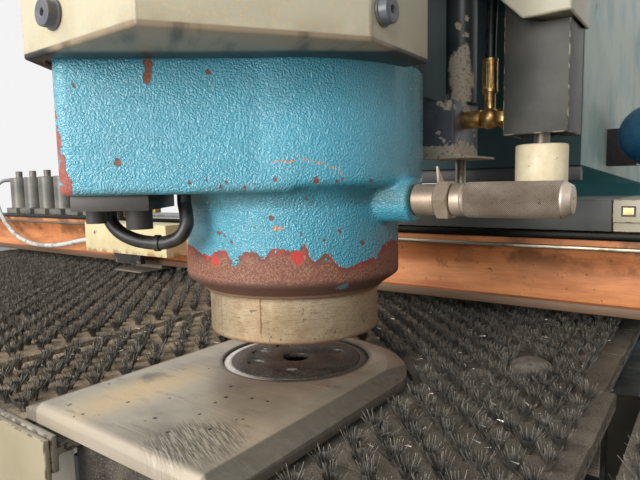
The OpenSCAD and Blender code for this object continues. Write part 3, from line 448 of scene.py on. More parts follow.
# Cream covers: folded sheet 3 mm thick, spot-welded and sprayed, yellowed by oil and dust
cream = painted("cream_cover_paint", (208, 200, 176), (190, 180, 152), (120, 104, 82), 22.0, 0.78, 7.0, 0.4)
table_cream = painted("table_cream_paint", (152, 142, 116), (134, 124, 98), (92, 78, 60), 34.0, 0.7, 9.0, 0.46)
dark_paint = painted("dark_paint", (62, 64, 68), (84, 84, 84), (176, 166, 146), 20.0, 0.74, 14.0, 0.5)
grey_paint = painted("grey_paint", (104, 107, 110), (124, 124, 120), (70, 66, 60), 20.0, 0.76, roughness=0.44)
dusty_grey = painted("dusty_grey_paint", (84, 82, 74), (108, 103, 90), (70, 62, 52), 18.0, 0.72, 7.0, 0.6)
for node, body, slot, look, edge in (
        ("arm_cover", "frame", "cover_paint", cream, 0.0015),
        ("cabinet", "frame", "cover_paint", cream, 0.0015),
        ("cabinet_door", "door", "cover_paint", cream, 0.0015),
        ("pendant_boom", "boom", "cover_paint", cream, 0.0015),
        ("pendant", "pendant_head", "cover_paint", cream, 0.0015),
        ("front_cover", "frame", "table_paint", table_cream, 0.0015),
        ("slug_drawer", "drawer", "grey_paint", grey_paint, 0.001),
        ("y_drive_housing", "frame", "dark_paint", dark_paint, 0.002),
        ("wing_gussets", "gantry", "frame_paint", dusty_grey, 0.0015),
        ("left_wing_frame", "gantry", "table_paint", table_cream, 0.001),
        ("right_wing_frame", "gantry", "table_paint", table_cream, 0.001),
        ("cross_beam", "gantry", "grey_paint", grey_paint, 0.0015),
        ("table_apron", "frame", "table_paint", table_cream, 0.001)):
    dressed(node, body, slot, look, edge)

# The head casting: grey iron, bored for the ram and the sleeve, with the drive housing cast on at
# its left front and a lug for the grip. It is brushed with thick blue enamel that dried in a
# hammered skin. Sheets have knocked the enamel off round the rim, down to red primer and iron.


def die_point(x, y, z):
    """A place in millimetres from the punch axis at the die plate's top."""
    return punch + Vector((x, y, z)) / 1000


def cast_skin(node, grain, rounds, held):
    """A solid's mesh as one cast skin: voxel-remeshed, then smoothed away from its machined faces."""
    bm = bmesh.new()
    bm.from_mesh(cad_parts[node].data)
    bmesh.ops.remove_doubles(bm, verts=bm.verts, dist=0.00002)
    raw = bpy.data.meshes.new("raw")
    bm.to_mesh(raw)
    bm.free()
    holder = stood("raw", raw)
    skin = holder.modifiers.new("skin", "REMESH")
    skin.mode = "VOXEL"
    skin.voxel_size = grain
    made = bpy.data.meshes.new_from_object(holder.evaluated_get(bpy.context.evaluated_depsgraph_get()))
    bpy.data.objects.remove(holder)
    bm = bmesh.new()
    bm.from_mesh(made)
    bpy.data.meshes.remove(made)
    loose = [vert for vert in bm.verts if not held(vert.co - punch)]
    for step in range(rounds):
        bmesh.ops.smooth_vert(bm, verts=loose, factor=0.5, use_axis_x=True, use_axis_y=True, use_axis_z=True)
    return bm


def nearest_on(line, r, z):
    """The nearest point to (r, z) on a line of points."""
    best, found = 1e9, None
    for (r0, z0), (r1, z1) in zip(line, line[1:]):
        dr, dz = r1 - r0, z1 - z0
        s = min(1, max(0, ((r - r0) * dr + (z - z0) * dz) / (dr * dr + dz * dz)))
        gap = (r0 + s * dr - r) ** 2 + (z0 + s * dz - z) ** 2
        if gap < best:
            best, found = gap, (r0 + s * dr, z0 + s * dz)
    return found


casting_bm = cast_skin("head_casting", 0.0016, 8,
                       lambda place: math.hypot(place.x, place.y) < 0.0655 or place.z > 0.207 or place.x > 0.1)
rim_line = [(64.3, 117), (64.3, 59.2), (64.7, 58.6), (66.9, 58.55), (67.5, 59.2), (67.6, 60.3), (68.4, 61.1),
            (78.8, 68.4), (79.7, 69.3), (80, 70.8), (80, 104)]
for vert in casting_bm.verts:
    place = (vert.co - punch) * 1000
    r = math.hypot(place.x, place.y)
    if place.z < 100 or 50 < r < 66 and place.z < 118:
        near_r, near_z = nearest_on(rim_line, r, place.z)
        ease = min(1, max(0, (104 - place.z) / 20)) if r > 70 else 1
        if math.hypot(near_r - r, near_z - place.z) < 3:
            new_r = r + (near_r - r) * ease
            vert.co = die_point(place.x * new_r / r, place.y * new_r / r, place.z + (near_z - place.z) * ease)


def vector(operation, first, second, out=0):
    """Two places, or a place and a factor, taken together."""
    return add(first.tree, "VectorMath", {0: first, 3 if operation == "SCALE" else 1: second}, out,
               operation=operation)


hammered, taken, given = new_effect("hammered_skin", ("Height",), Vector="Vector", Scale=400.0)
where = taken["Vector"]
bent = vector("ADD", where, vector("SCALE", noise(where, 300.0, 1.0, out="Color"), 0.0008))
worms = rise(noise(bent, taken["Scale"], 1.0), 0.28, 0.72)
plug(noise(where, 120.0, 1.0) * 0.6 + worms, given["Height"])


def ramp_line(value, points, low, high):
    """A curve through (value, result) points; the value goes from 0 to 1 along them."""
    made = value.tree.nodes.new("ShaderNodeFloatCurve")
    plug(value, made.inputs["Value"])
    curve = made.mapping.curves[0]
    for index, (x, y) in enumerate(points):
        place = ((x - points[0][0]) / (points[-1][0] - points[0][0]), (y - low) / (high - low))
        if index in (0, len(points) - 1):
            curve.points[min(index, 1) * -1].location = place
        else:
            curve.points.new(*place)
    made.mapping.update()
    return Wire(made.outputs[0]) * (high - low) + low


def span(value, low, high, first=0.0, last=1.0):
    """A straight run from first, where the value is low, to last, where it is high."""
    return add(value.tree, "MapRange", {"Value": value, "From Min": low, "From Max": high, "To Min": first,
                                        "To Max": last})


def distance(where, place):
    return vector("DISTANCE", where, place, "Value")


def spots(where, places):
    """A mask of small ragged spots at (x, y, z, radius) in millimetres from the punch axis."""
    mask = None
    for x, y, z, radius in places:
        gap = distance(where, (x / 1000, y / 1000, z / 1000))
        spot = span(gap, radius * 0.00112, radius * 0.00088)
        mask = mask | spot if mask else spot
    return mask


def warped(where, scale, reach):
    """Places shifted a little by a noise, which makes a shape's outline ragged."""
    shift = vector("ADD", noise(where, scale, 4.0, 0.7, "Color"), (-0.5, -0.5, -0.5))
    return vector("ADD", where, vector("SCALE", shift, reach))


def mapped(where, scale=(1, 1, 1), turn=0.0):
    """Places stretched along the axes and turned about Z."""
    return add(where.tree, "Mapping", {"Vector": where, "Scale": scale, "Rotation": (0, 0, turn)})


def turn_of(where):
    return where.maths("ARCTAN2", where.y, where.x)


casting_look, where = start_look("casting_enamel")
ragged = warped(warped(where, 110.0, 0.007), 420.0, 0.0042)
turn = turn_of(where)
height = where.z * 1000.0
ragged_height = ragged.z * 1000.0

# Where the enamel ends on the neck, by the turn round the axis
edge_points = [(-135, 90), (-116, 92.5), (-105, 90), (-98.6, 88), (-91, 90.5), (-84.4, 92.5), (-80.5, 85.5),
               (-76, 89), (-68.5, 91.9), (-65.3, 88.1), (-59.2, 94), (-53, 92.5), (-48, 92), (-46.6, 96),
               (-44, 90), (-40.8, 85.5), (-36.6, 89.5), (-31, 83), (-26.7, 80), (-18.2, 82.6), (-10, 85),
               (-4, 88.6), (3, 94), (20, 90)]
along = span(turn, math.radians(-135), math.radians(20))
below = ramp_line(along, edge_points, 60.0, 100.0) - ragged_height
bare = rise(below, -0.25, 0.25)

# The stripe down the housing's corner, knocked down to the primer
along_u = mapped(ragged, turn=-housing_turn)
reach = span(where.z, 0.129, 0.178, 0.0105, 0.0005) * rise(noise(where, 65.0, 3.0), 0.25, 0.6)
stripe = rise(reach - (0.136 - along_u.x), 0.0, 0.0005) * rise(along_u.y, 0.05, 0.06)
bare = bare | stripe

# Chips at the shoulder and on the neck, where sheets and spanners have touched it
shoulder_spots = [(-3.6, -97.9, 136.4, 1.5), (9.7, -97.5, 136.8, 1.2), (19.5, -96, 133.4, 1.5),
                  (22.6, -95.3, 134.8, 1.3), (36.7, -90.9, 132.1, 1.5), (54.4, -81.5, 136.6, 1.1),
                  (57.7, -79.2, 135.2, 0.9), (71.8, -66.7, 136, 2.3), (76.5, -61.3, 135.3, 0.9),
                  (80.2, -56.3, 134.6, 1.7), (82.4, -53.1, 136.2, 1.2), (91.3, -35.7, 134.9, 1.6),
                  (94.2, -27, 135.6, 0.7), (17.5, -96.4, 201.1, 1.4), (-16, -138.5, 148.3, 2.2),
                  (-0.5, -125.6, 203, 3), (-0.6, -125.6, 200.5, 2.6), (-0.8, -125.7, 198, 2.6),
                  (-1, -126, 195.8, 2.2), (-1.2, -126.2, 193.4, 1.8), (25.5, -103.8, 198.9, 1.5),
                  (-32.8, -152.6, 191.9, 0.9), (-37.6, -156.6, 177.7, 0.9), (15, -112.6, 135.6, 1.2),
                  (23, -105.9, 137.3, 0.9), (28.8, -101, 133.5, 1.5), (31.6, -98.8, 135.2, 1),
                  (38.7, -92.8, 132, 1), (43.7, -88.6, 134.7, 0.7)]
neck_spots = [(25, -76, 116.4, 1.1), (39.8, -69.4, 113.2, 1.3), (54.6, -58.4, 102.9, 0.9),
              (76.5, -23.2, 95.6, 1.6), (4.1, -79.9, 103.4, 1.6), (7.5, -79.6, 101.6, 1.0),
              (30, -74.2, 107.6, 0.8), (14, -78.8, 97.6, 1.0), (64, -48, 98.6, 1.0), (70, -38.7, 104, 0.8)]
chips = spots(ragged, shoulder_spots) | spots(ragged, neck_spots) | patched(where, 75.0, 0.735, 0.01)

# Islands of enamel left standing below its edge
islands = patched(where, 120.0, 0.6, 0.01) * rise(below, 5.0, 3.0)
islands = spots(ragged, [(67.2, -33.4, 68.8, 4.4), (62.5, -41, 69.5, 2.6), (-6, -79.8, 89.5, 2.2),
                         (-10, -79.4, 90.5, 1.6)]) | islands
bare = (bare - islands) | 0.0

# The scratch above the shoulder, and a tan mark on the neck
scratch_points = [(-62, 145), (-60.9, 145.3), (-53.7, 147.3), (-45.9, 147.7), (-41, 146.4), (-36.5, 143.5),
                  (-32.8, 138.7)]
along = span(turn, math.radians(-62), math.radians(-32.8))
off = abs(ramp_line(along, scratch_points, 130.0, 150.0) - ragged_height)
inside = (rise(turn, math.radians(-62), math.radians(-61))
          * rise(turn, math.radians(-32), math.radians(-33.5)))
scratch = rise(off, 0.62, 0.3) * inside * rise(noise(where, 210.0), 0.4, 0.5)
tan_marks = scratch | spots(ragged, [(41.8, -68.2, 106.3, 2.0), (44.2, -66.7, 106.6, 1.4)])


def layered(colour, *layers):
    """A colour under others, each with a mask and its red, green and blue from 0 to 255."""
    for mask, over in layers:
        colour = blend(mask, colour, tint(*over))
    return colour


# Colours: enamel, its dirt in the groove, primer with sand in it, and the bare iron of the cone
smudge = noise(where, 30.0, 6.0, 0.7)
groove = rise(height, 117.0, 123.0) * rise(height, 135.5, 130.0) * rise(smudge, 0.25, 0.6)
dirt = groove * 0.6 | rise(smudge, 0.56, 0.75) * 0.3
enamel = layered(blend(toned(where, 9.0), tint(72, 160, 184), tint(58, 142, 162)), (dirt, (60, 92, 88)))
sand = noise(where, 950.0, 3.0, 0.6)
sandy = rise(sand, 0.35, 0.6)
red = patched(where, 70.0, 0.47, 0.06) * rise(below, 7.5, 2.0)
bright_red = spots(ragged, [(-1.5, -80, 84.5, 3.4), (52.3, -60.5, 88, 4.0), (-3, -80, 88, 2.4),
                            (-9, -79.5, 87, 2)])
primer = layered(blend(rise(sand, 0.4, 0.72) * rise(below, 1.0, 5.5), tint(118, 66, 54), tint(160, 126, 98)),
                 (red * 0.75, (158, 58, 50)),
                 (bright_red * 0.8, (196, 52, 46)),
                 (rise(ragged_height, 73.5, 70.0) * 0.85, (84, 56, 47)),
                 (rise(height, 61.6, 60.4) * 0.8, (140, 112, 86)))
primer = blend(stripe, primer, blend(sandy, tint(134, 62, 52), tint(156, 88, 72)))
colour = blend(bare, enamel, primer)
colour = blend(chips, colour, blend(sandy, tint(100, 50, 40), tint(136, 84, 60)))

# A pale edge where the enamel is broken, on both sides of its outline
pale_rim = rise(below, -0.9, -0.2) * rise(below, 0.5, 0.1) * (rise(sand, 0.45, 0.6) * 0.5)
colour = layered(colour, (tan_marks, (186, 134, 88)), (pale_rim, (196, 190, 170)))
gone = bare | chips
skin = use(hammered, Vector=where, Scale=880.0)["Height"] * (gone * -1.0 + 1.0)
bump = bumped(gone * -0.8 + (sand * gone * 0.9 + skin), 1.0, 0.0004)
finish_look(casting_look, Base_Color=colour, Roughness=dirt * 0.25 + (gone * 0.36 + 0.26), Normal=bump,
            Coat_Weight=gone * -0.9 + 0.9, Coat_Roughness=0.11, Coat_Normal=bump)
add_piece("casting", casting_bm, "frame", "head_paint", casting_look, "head_casting", angle=50)

# The hold-down sleeve: a turned steel ring that presses the sheet flat while the punch goes
# through. It is bare, bright where it slides, with a film of brown oil and a rusty lower edge.


def spun(bm, points, centre, axis, steps, closed=False):
    """Spins a line of points once round an axis, as on a lathe."""
    verts = [bm.verts.new(point) for point in points]
    edges = [bm.edges.new(pair) for pair in zip(verts, verts[1:] + verts[:closed])]
    bmesh.ops.spin(bm, geom=verts + edges, cent=centre, axis=axis, angle=math.tau, steps=steps, use_merge=True)
    bmesh.ops.recalc_face_normals(bm, faces=bm.faces)


# Turned steel: rings left by the tool, brown film and small dark pits
turned_steel, taken, given = new_effect("turned_steel", ("Color", "Roughness", "Height"), Vector="Vector",
                                        Along=0.0, Steel="Color", Film="Color", Pit_Level=0.66)
where = taken["Vector"]
rings = noise(add(where.tree, "CombineXYZ", (taken["Along"],)), 2.1, 3.0, 0.7)
film = noise(where, 22.0, 7.0, 0.65)
colour = blend(rise(film, 0.36, 0.68), taken["Steel"], taken["Film"])
colour = blend(rise(rings, 0.55, 0.7) * 0.35, colour, taken["Film"])
dark = patched(where, 230.0, taken["Pit Level"], 0.03) * 0.7 | rise(noise(where, 1100.0), 0.56, 0.74) * 0.45
plug(layered(colour, (dark, (58, 48, 40))), given["Color"])
plug(dark * 0.2 + (film * 0.3 + 0.26), given["Roughness"])
plug(rings * 0.6 + dark * -0.8, given["Height"])

sleeve_look, where = start_look("sleeve_steel")
height = where.z * 1000.0
steel = use(turned_steel, Vector=where, Along=height, Steel=tint(206, 186, 156), Film=tint(158, 134, 104),
            Pit_Level=0.67)
colour = steel["Color"]
stained = warped(where, 260.0, 0.0022)
stain_height = stained.z * 1000.0
stain_turn = turn_of(stained)
for middle, wide, strong in ((-71.8, 0.85, 0.8), (-104.8, 0.7, 0.4), (-99.5, 0.3, 0.25)):
    run = rise(abs(stain_turn - math.radians(middle)), math.radians(wide), math.radians(wide * 0.3))
    colour = layered(colour, (run * rise(height, 30.0, 36.0) * strong, (104, 72, 48)))
rusty = rise(stain_height, 30.4, 27.8) * 0.75
lined = noise(mapped(where, (1.0, 1.0, 14.0)), 130.0, 4.0, 0.7)
colour = layered(colour,
                 (rusty, (128, 82, 52)),
                 (rise(stain_height, 55.0, 58.5) * 0.6, (98, 76, 58)),
                 (rise(lined, 0.5, 0.66) * 0.5, (104, 86, 66)))
finish_look(sleeve_look, Base_Color=colour, Roughness=rusty * 0.25 + steel["Roughness"], Metallic=0.5,
            Normal=bumped(steel["Height"], 0.3, 0.0002))
sleeve_bm = bmesh.new()
sleeve_line = [(43, 28.2), (43.8, 27.4), (62.8, 27.4), (63.5, 27.6), (63.9, 28.2), (64, 29), (64, 105),
               (45, 105), (45, 33.4), (43, 33.4)]
spun(sleeve_bm, [die_point(r, 0, z) for r, z in sleeve_line], punch, (0, 0, 1), 128, closed=True)
add_piece("sleeve", sleeve_bm, "sleeve_body", "turned_steel", sleeve_look, "stripper_sleeve")

# Ram and punch inside the sleeve: a hardened ram with the tool holder and the punch pushed into it
ram_look, where = start_look("ram_steel")
steel = use(turned_steel, Vector=where, Along=where.z * 1000.0, Steel=tint(188, 186, 180),
            Film=tint(140, 130, 112))
finish_look(ram_look, Base_Color=steel["Color"], Roughness=steel["Roughness"], Metallic=0.9,
            Normal=bumped(steel["Height"], 0.25, 0.0002))
dressed("ram", "ram_slide_body", "bright_steel", ram_look, 0.001)
dressed("punch", "ram_slide_body", "dark_steel", ram_look, 0.0008)

# Die plate: a flat steel plate with ramped edges and a rounded nose, over which the sheets
# slide. They have polished it, and dragged corners and slugs have scored its front.
plate_look, where = start_look("die_plate_steel")
broad = noise(where, 13.0, 5.0, 0.55)
warm = distance(vector("MULTIPLY", warped(where, 30.0, 0.02), (1.0, 0.36, 1.0)), (-0.04, -0.041, 0.0))
streaks = noise(mapped(where, (1.0, 5.0, 1.0), 0.5), 26.0, 6.0, 0.7)

# The scored patch in front: many short parallel marks, dense near the nose's right half
score_lines = noise(mapped(mapped(where, turn=0.42), (1.0, 16.0, 1.0)), 62.0, 3.0, 0.7)
score_zone = rise(distance(warped(where, 38.0, 0.03), (0.046, -0.143, 0.0)), 0.034, 0.014)
score = rise(score_lines, 0.44, 0.56) * score_zone
smear = distance(warped(where, 60.0, 0.02), (-0.056, -0.095, 0.0))

# Long scratches in three directions, each a noise stretched along a line
scratches = None
for turn in (0.35, 1.35, 2.5):
    turned = add(where.tree, "Mapping", {"Vector": where, "Rotation": (0.1, 0.15, turn),
                                         "Scale": (1.0, 26.0, 9.0)})
    scratch = span(noise(turned, 19.0, 1.5), 0.66, 0.71)
    scratches = scratches | scratch if scratches else scratch
pits = patched(where, 95.0, 0.71, 0.02) | spots(
    warped(where, 420.0, 0.0012),
    [(31, -83, 0, 1.3), (16, -91, 0, 1.5), (25.7, -143.8, 0, 1.1), (48.2, -108.6, 0, 0.9),
     (42.1, -128.2, 0, 1.2), (-29.6, -131.1, 0, 1.2), (-36.3, -157.2, 0, 1.0), (-38.1, -161.8, 0, 0.8),
     (42.6, -80.9, 0, 1.0), (4.5, -136.4, 0, 1.3), (17, -101, 0, 1.1), (5, -76, 0, 1.3),
     (-13, -112, 0, 0.8), (22, -118, 0, 1.1)])
grit = noise(where, 1300.0)

# The nose's front face is painted a flat grey-tan as shade and made a little rougher; the ramps at
# the sides and the rear are painted darker as shade, with dull dust in patches on them.
nose_front_shade = rise(where.y, -0.1605, -0.1635)
ramp_shade = rise(abs(where.x), 0.0745, 0.0765) | rise(where.y, 0.062, 0.068)
dusty = ramp_shade * rise(noise(where, 120.0, 5.0, 0.7), 0.3, 0.62)


def reach_of(where):
    """The distance from the punch axis in millimetres."""
    flat = vector("MULTIPLY", where, (1000.0, 1000.0, 0.0))
    return add(where.tree, "VectorMath", (flat,), "Value", operation="LENGTH")


colour = layered(blend(rise(broad, 0.32, 0.66), tint(186, 176, 156), tint(150, 143, 128)),
                 (rise(warm, 0.03, 0.006) * 0.75, (222, 194, 146)),
                 (rise(streaks, 0.54, 0.72) * 0.55, (92, 86, 78)),
                 (rise(streaks, 0.46, 0.32) * 0.4, (186, 178, 164)),
                 (score * 0.7, (60, 56, 52)),
                 (rise(score_lines, 0.41, 0.34) * score_zone * 0.7, (226, 220, 206)),
                 (rise(smear, 0.013, 0.003) * 0.75, (74, 72, 68)),
                 (scratches * 0.25, (206, 198, 184)),
                 (pits, (40, 34, 30)),
                 (rise(grit, 0.55, 0.75) * 0.3, (72, 64, 56)),
                 # painted shade on the nose's front face and on the ramps; dust on the ramps
                 (nose_front_shade * 0.7, (168, 156, 138)),
                 (ramp_shade * 0.55, (84, 79, 70)),
                 (dusty * 0.6, (96, 89, 77)),
                 # painted shade and dirt in the gap round the die ring
                 (rise(reach_of(where), 60.5, 57.2) * 0.7, (50, 45, 40)))
rough = nose_front_shade * 0.08 + (dusty * 0.35 + (score * 0.22 + (broad * 0.22 + 0.28)))
relief = scratches * -0.3 + (grit * 0.25 + (pits * -1.0 + score * -0.25))
finish_look(plate_look, Base_Color=colour, Roughness=rough, Metallic=0.4, Normal=bumped(relief, 0.5, 0.0003))
dressed("die_plate", "frame", "worn_steel", plate_look, 0.0008, segments=3, angle=12)

# Ring and die: the ring holds the die in the plate. Its face is cast rough, with a painted highlight on its
# front-left side and painted shade with dirt at its outer edge; the die is black with oil, with screw seats in
# its face.
ring_look, where = start_look("die_ring_steel")
grain = noise(where, 700.0, 3.0, 0.7)
# painted highlight: the ring's front-left side is painted near white
colour = layered(blend(rise(where.x + where.y, -0.02, -0.06), tint(112, 106, 97), tint(250, 246, 236)),
                 (rise(grain, 0.52, 0.7) * 0.7, (80, 75, 70)),
                 # painted shade and dirt at the ring's outer edge, in the gap
                 (rise(reach_of(where), 56.2, 56.9), (22, 20, 18)))
finish_look(ring_look, Base_Color=colour, Roughness=0.5, Metallic=0.6, Normal=bumped(grain, 0.7, 0.0005))
dressed("die_ring", "frame", "bright_steel", ring_look, 0.0005)

screw_reach, screw_turns = 0.033, [math.radians(turn) for turn in (58, 148, 193, 238)]
die_look, where = start_look("die_black_steel")
oil = noise(where, 48.0, 7.0, 0.7)
blotch = spots(warped(where, 240.0, 0.005), [(15.6, -25.5, -1, 3.0), (18, -24, -1, 2.0), (-34, 2, -1, 1.6)])
colour = layered(blend(rise(oil, 0.35, 0.7), tint(52, 48, 44), tint(94, 86, 76)),
                 (rise(noise(where, 900.0), 0.57, 0.68), (136, 128, 116)),
                 (blotch * 0.8, (190, 188, 182)))
for turn in screw_turns:
    out = distance(where, (screw_reach * math.cos(turn), screw_reach * math.sin(turn), -0.0008))
    colour = layered(colour, (rise(out, 0.0078, 0.0066) * rise(out, 0.0058, 0.0062) * 0.7, (128, 122, 112)))
finish_look(die_look, Base_Color=colour, Roughness=oil * 0.4 + 0.3, Metallic=0.2,
            Normal=bumped(oil, 0.3, 0.0006))
dressed("die_disc", "frame", "dark_steel", die_look, 0.0006)
dressed("die_bolster", "frame", "dark_steel", die_look, 0.001)


def joined(parts):
    """One bmesh of several."""
    whole = bmesh.new()
    for part in parts:
        mesh = bpy.data.meshes.new("part")
        part.to_mesh(mesh)
        part.free()
        whole.from_mesh(mesh)
        bpy.data.meshes.remove(mesh)
    return whole


# Screws of the die: socket heads sunk in their seats, black with oil
screws = []
for turn in screw_turns:
    screw = bmesh.new()
    bmesh.ops.create_cone(screw, segments=24, radius1=0.0048, radius2=0.0044, depth=0.0012, cap_ends=True)
    bmesh.ops.create_cone(screw, segments=6, radius1=0.0022, radius2=0.0022, depth=0.0014, cap_ends=True)
    screw.transform(Matrix.Translation(punch) @ Matrix.Rotation(turn, 4, "Z")
                    @ Matrix.Translation((screw_reach, 0, -0.0024)))
    screws.append(screw)
add_piece("die_screws", joined(screws), "frame", "dark_steel", die_look)

# The brush table: boards of brown laminate with black nylon tufts stapled into drilled holes, on
# a steel pan. Sheets slide on the tufts. Dust has settled between them and on their splayed tips,
# and thin bright chips from the punch lie about.
board_look, where = start_look("brush_board")
sand = noise(where, 850.0, 3.0, 0.7)
lit_side = rise(warped(where, 14.0, 0.08).x, 0.06, -0.06)
colour = layered(blend(lit_side, tint(116, 108, 94), tint(190, 167, 137)),
                 (rise(noise(where, 34.0, 7.0, 0.7), 0.62, 0.34), (88, 79, 68)),
                 (rise(sand, 0.5, 0.68) * 0.6, (160, 146, 122)),
                 (rise(sand, 0.46, 0.34) * 0.5, (44, 38, 33)))
finish_look(board_look, Base_Color=colour, Roughness=0.85, Normal=bumped(sand, 0.6, 0.0008))
for node, body in (("centre_boards", "frame"), ("left_wing_boards", "gantry"), ("right_wing_boards", "gantry")):
    dressed(node, body, "brush_board", board_look, 0.0006, segments=1)

tuft_look, where = start_look("nylon_bristles")
cloud = noise(where, 26.0, 5.0, 0.6)
tipped = rise(where.z, -0.0075, -0.001) * rise(noise(where, 420.0), 0.34, 0.6) * (cloud * 0.9 + 0.15)
colour = layered(blend(rise(cloud, 0.35, 0.7), tint(66, 65, 62), tint(92, 88, 80)),
                 (tipped, (156, 147, 131)),
                 (rise(where.z, -0.0095, -0.0135) * 0.5, (104, 90, 74)))
finish_look(tuft_look, Base_Color=colour, Roughness=0.55)


def tuft(seed, sides=6, blades=48, half=0.0003):
    """One tuft in metres on a board's top: a low core, and bristles that fan out of it as thin blades."""
    chance = random.Random(seed)
    verts, faces = [], []
    for level, radius in ((0.0, 0.0026), (0.0045, 0.0034), (0.0085, 0.0045)):
        for side in range(sides):
            turn = math.tau * (side + 0.4 * chance.random()) / sides
            wide = radius * chance.uniform(0.84, 1.14)
            verts.append((wide * math.cos(turn), wide * math.sin(turn),
                          level + (level > 0.006) * chance.uniform(-0.0014, 0.001)))
    for level in range(2):
        for side in range(sides):
            a, b = level * sides + side, level * sides + (side + 1) % sides
            faces.append((a, b, b + sides, a + sides))
    for blade in range(blades):
        turn = math.tau * (blade * 0.618 + 0.1 * chance.random())
        share = math.sqrt((blade + 0.5) / blades)
        low, out = 0.0023 * share, share * chance.uniform(0.0082, 0.0108)
        top = chance.uniform(0.0124, 0.0136) - 0.0008 * share
        across = chance.uniform(0, math.tau)
        lean = turn + chance.uniform(-0.3, 0.3)
        first = len(verts)
        for far, way, side, level in ((low, turn, -half, 0.002), (low, turn, half, 0.002),
                                      (out, lean, 0.5 * half, top), (out, lean, -0.5 * half, top)):
            verts.append((far * math.cos(way) + side * math.cos(across),
                          far * math.sin(way) + side * math.sin(across), level))
        faces.append((first, first + 1, first + 2, first + 3))
    return [Vector(v) for v in verts], faces


tuft_kinds = [tuft(seed) for seed in range(9)]


def plant(name, body, node, inside, rows, seed):
    """Tufts on the rows' staggered grid wherever the place is inside the board."""
    chance = random.Random(seed)
    verts, faces = [], []
    for row in range(rows):
        y = -159.5 + 13 * row
        for column in range(-84, 85):
            x = 26.5 * column + 13.25 * (row % 2)
            if not inside(x, y) or chance.random() < 0.012:
                continue
            foot = die_point(x + chance.uniform(-0.5, 0.5), y + chance.uniform(-0.5, 0.5), -14)
            turned = Matrix.Identity(3)
            for axis, most in (("X", 0.13), ("Y", 0.13)):
                turned = turned @ Matrix.Rotation(chance.uniform(-most, most), 3, axis)
            turned = turned @ Matrix.Rotation(chance.uniform(0, math.tau), 3, "Z")
            kind_verts, kind_faces = chance.choice(tuft_kinds)
            first = len(verts)
            tall = chance.uniform(0.93, 1.0)
            for v in kind_verts:
                vert = foot + turned @ Vector((v.x, v.y, v.z * tall))
                verts.append((vert.x, vert.y, min(vert.z, punch.z - 0.0005)))
            faces.extend(tuple(first + corner for corner in face) for face in kind_faces)
    mesh = bpy.data.meshes.new(name)
    mesh.from_pydata(verts, [], faces)
    add_piece(name, mesh, body, "bristle", tuft_look, node, smooth=False)


stud_x, stud_y = 153, 98


def on_centre(x, y):
    """Whether a tuft fits on the centre boards, clear of the die plate's cut-out and of the stud."""
    clear = abs(x) > 99 if y < -13 else math.hypot(x, y + 13) > 101.5
    return abs(x) < (206 if y < 83 else 198) and y < 874 and clear and math.hypot(x - stud_x, y - stud_y) > 20


plant("centre_bristles", "frame", "centre_tufts", on_centre, 80, 3)
plant("left_bristles", "gantry", "left_wing_tufts", lambda x, y: -1068 < x < -234, 36, 4)
plant("right_bristles", "gantry", "right_wing_tufts", lambda x, y: 234 < x < 1068, 36, 5)

# A flat steel stud among the tufts behind the die, dull and dusty
stud_look, where = start_look("dull_stud")
cloud = noise(where, 160.0, 5.0, 0.7)
finish_look(stud_look, Base_Color=blend(rise(cloud, 0.35, 0.68), tint(96, 92, 83), tint(134, 126, 112)),
            Roughness=0.62, Metallic=0.3)
stud_bm = bmesh.new()
stud_line = [(0.01, -14), (16.5, -14), (16.5, -11), (15.4, -7.6), (13, -5), (9.6, -3.1), (5, -1.9),
             (0.01, -1.5)]
spun(stud_bm, [die_point(stud_x + r, stud_y, z) for r, z in stud_line], die_point(stud_x, stud_y, 0),
     (0, 0, 1), 48)
add_piece("table_stud", stud_bm, "frame", "dark_steel", stud_look)

# Chips: slivers and small slugs of bright sheet lying on the boards and between the tufts
chip_look = start_look("bright_chips")[0]
finish_look(chip_look, Base_Color=tint(224, 220, 208), Roughness=0.28, Metallic=0.9)
chance = random.Random(11)
chip_verts, chip_faces = [], []
while len(chip_faces) < 320:
    x, y = chance.uniform(-205, 205), chance.triangular(-160, 380, -20)
    if not on_centre(x, y) or abs(x) > 190:
        continue
    place = die_point(x, y, chance.choice((-13.6, -13.6, -8, -3.5, -2.2)))
    turned = (Matrix.Rotation(chance.uniform(0, math.tau), 3, "Z")
              @ Matrix.Rotation(chance.uniform(-0.4, 0.4), 3, "X"))
    long, wide = chance.uniform(0.0006, 0.0034), chance.uniform(0.0002, 0.0005)
    first = len(chip_verts)
    for a, b in ((-1, -1), (1, -1), (1, 1), (-1, 1)):
        chip_verts.append(place + turned @ Vector((a * long, b * wide, 0.0002 * a * b)))
    chip_faces.append((first, first + 1, first + 2, first + 3))
chip_mesh = bpy.data.meshes.new("metal_chips")
chip_mesh.from_pydata(chip_verts, [], chip_faces)
add_piece("metal_chips", chip_mesh, "frame", "bright_steel", chip_look, smooth=False)

# Table edge: the pan's folded front band, greyed by hands and sheets, and its beams below
band_look = painted("table_band", (122, 116, 104), (150, 142, 126), (78, 68, 58), 60.0, 0.62, 26.0, 0.55)
dressed("table_bed", "frame", "worn_steel", band_look, 0.0012)

# The grip: a stud screwed into the lug, two plain collars with a jam nut between them, and a
# knurled handle with a chamfered end. All turned from steel, browned by hands and oil.
grip_look, where = start_look("grip_steel")
steel = use(turned_steel, Vector=where, Along=where.x * 1000.0, Steel=tint(204, 190, 172),
            Film=tint(156, 138, 120), Pit_Level=0.7)
deep = mark(where, "groove")
finish_look(grip_look, Base_Color=layered(steel["Color"], (deep * 0.8, (66, 56, 48))),
            Roughness=deep * 0.3 + steel["Roughness"], Metallic=0.6,
            Normal=bumped(steel["Height"], 0.25, 0.0002))
grip_level = 122.5


def grip_point(x, radius, turn):
    """A place by its distance from the grip's axis and its turn round it."""
    return die_point(x, radius * math.sin(turn), grip_level + radius * math.cos(turn))


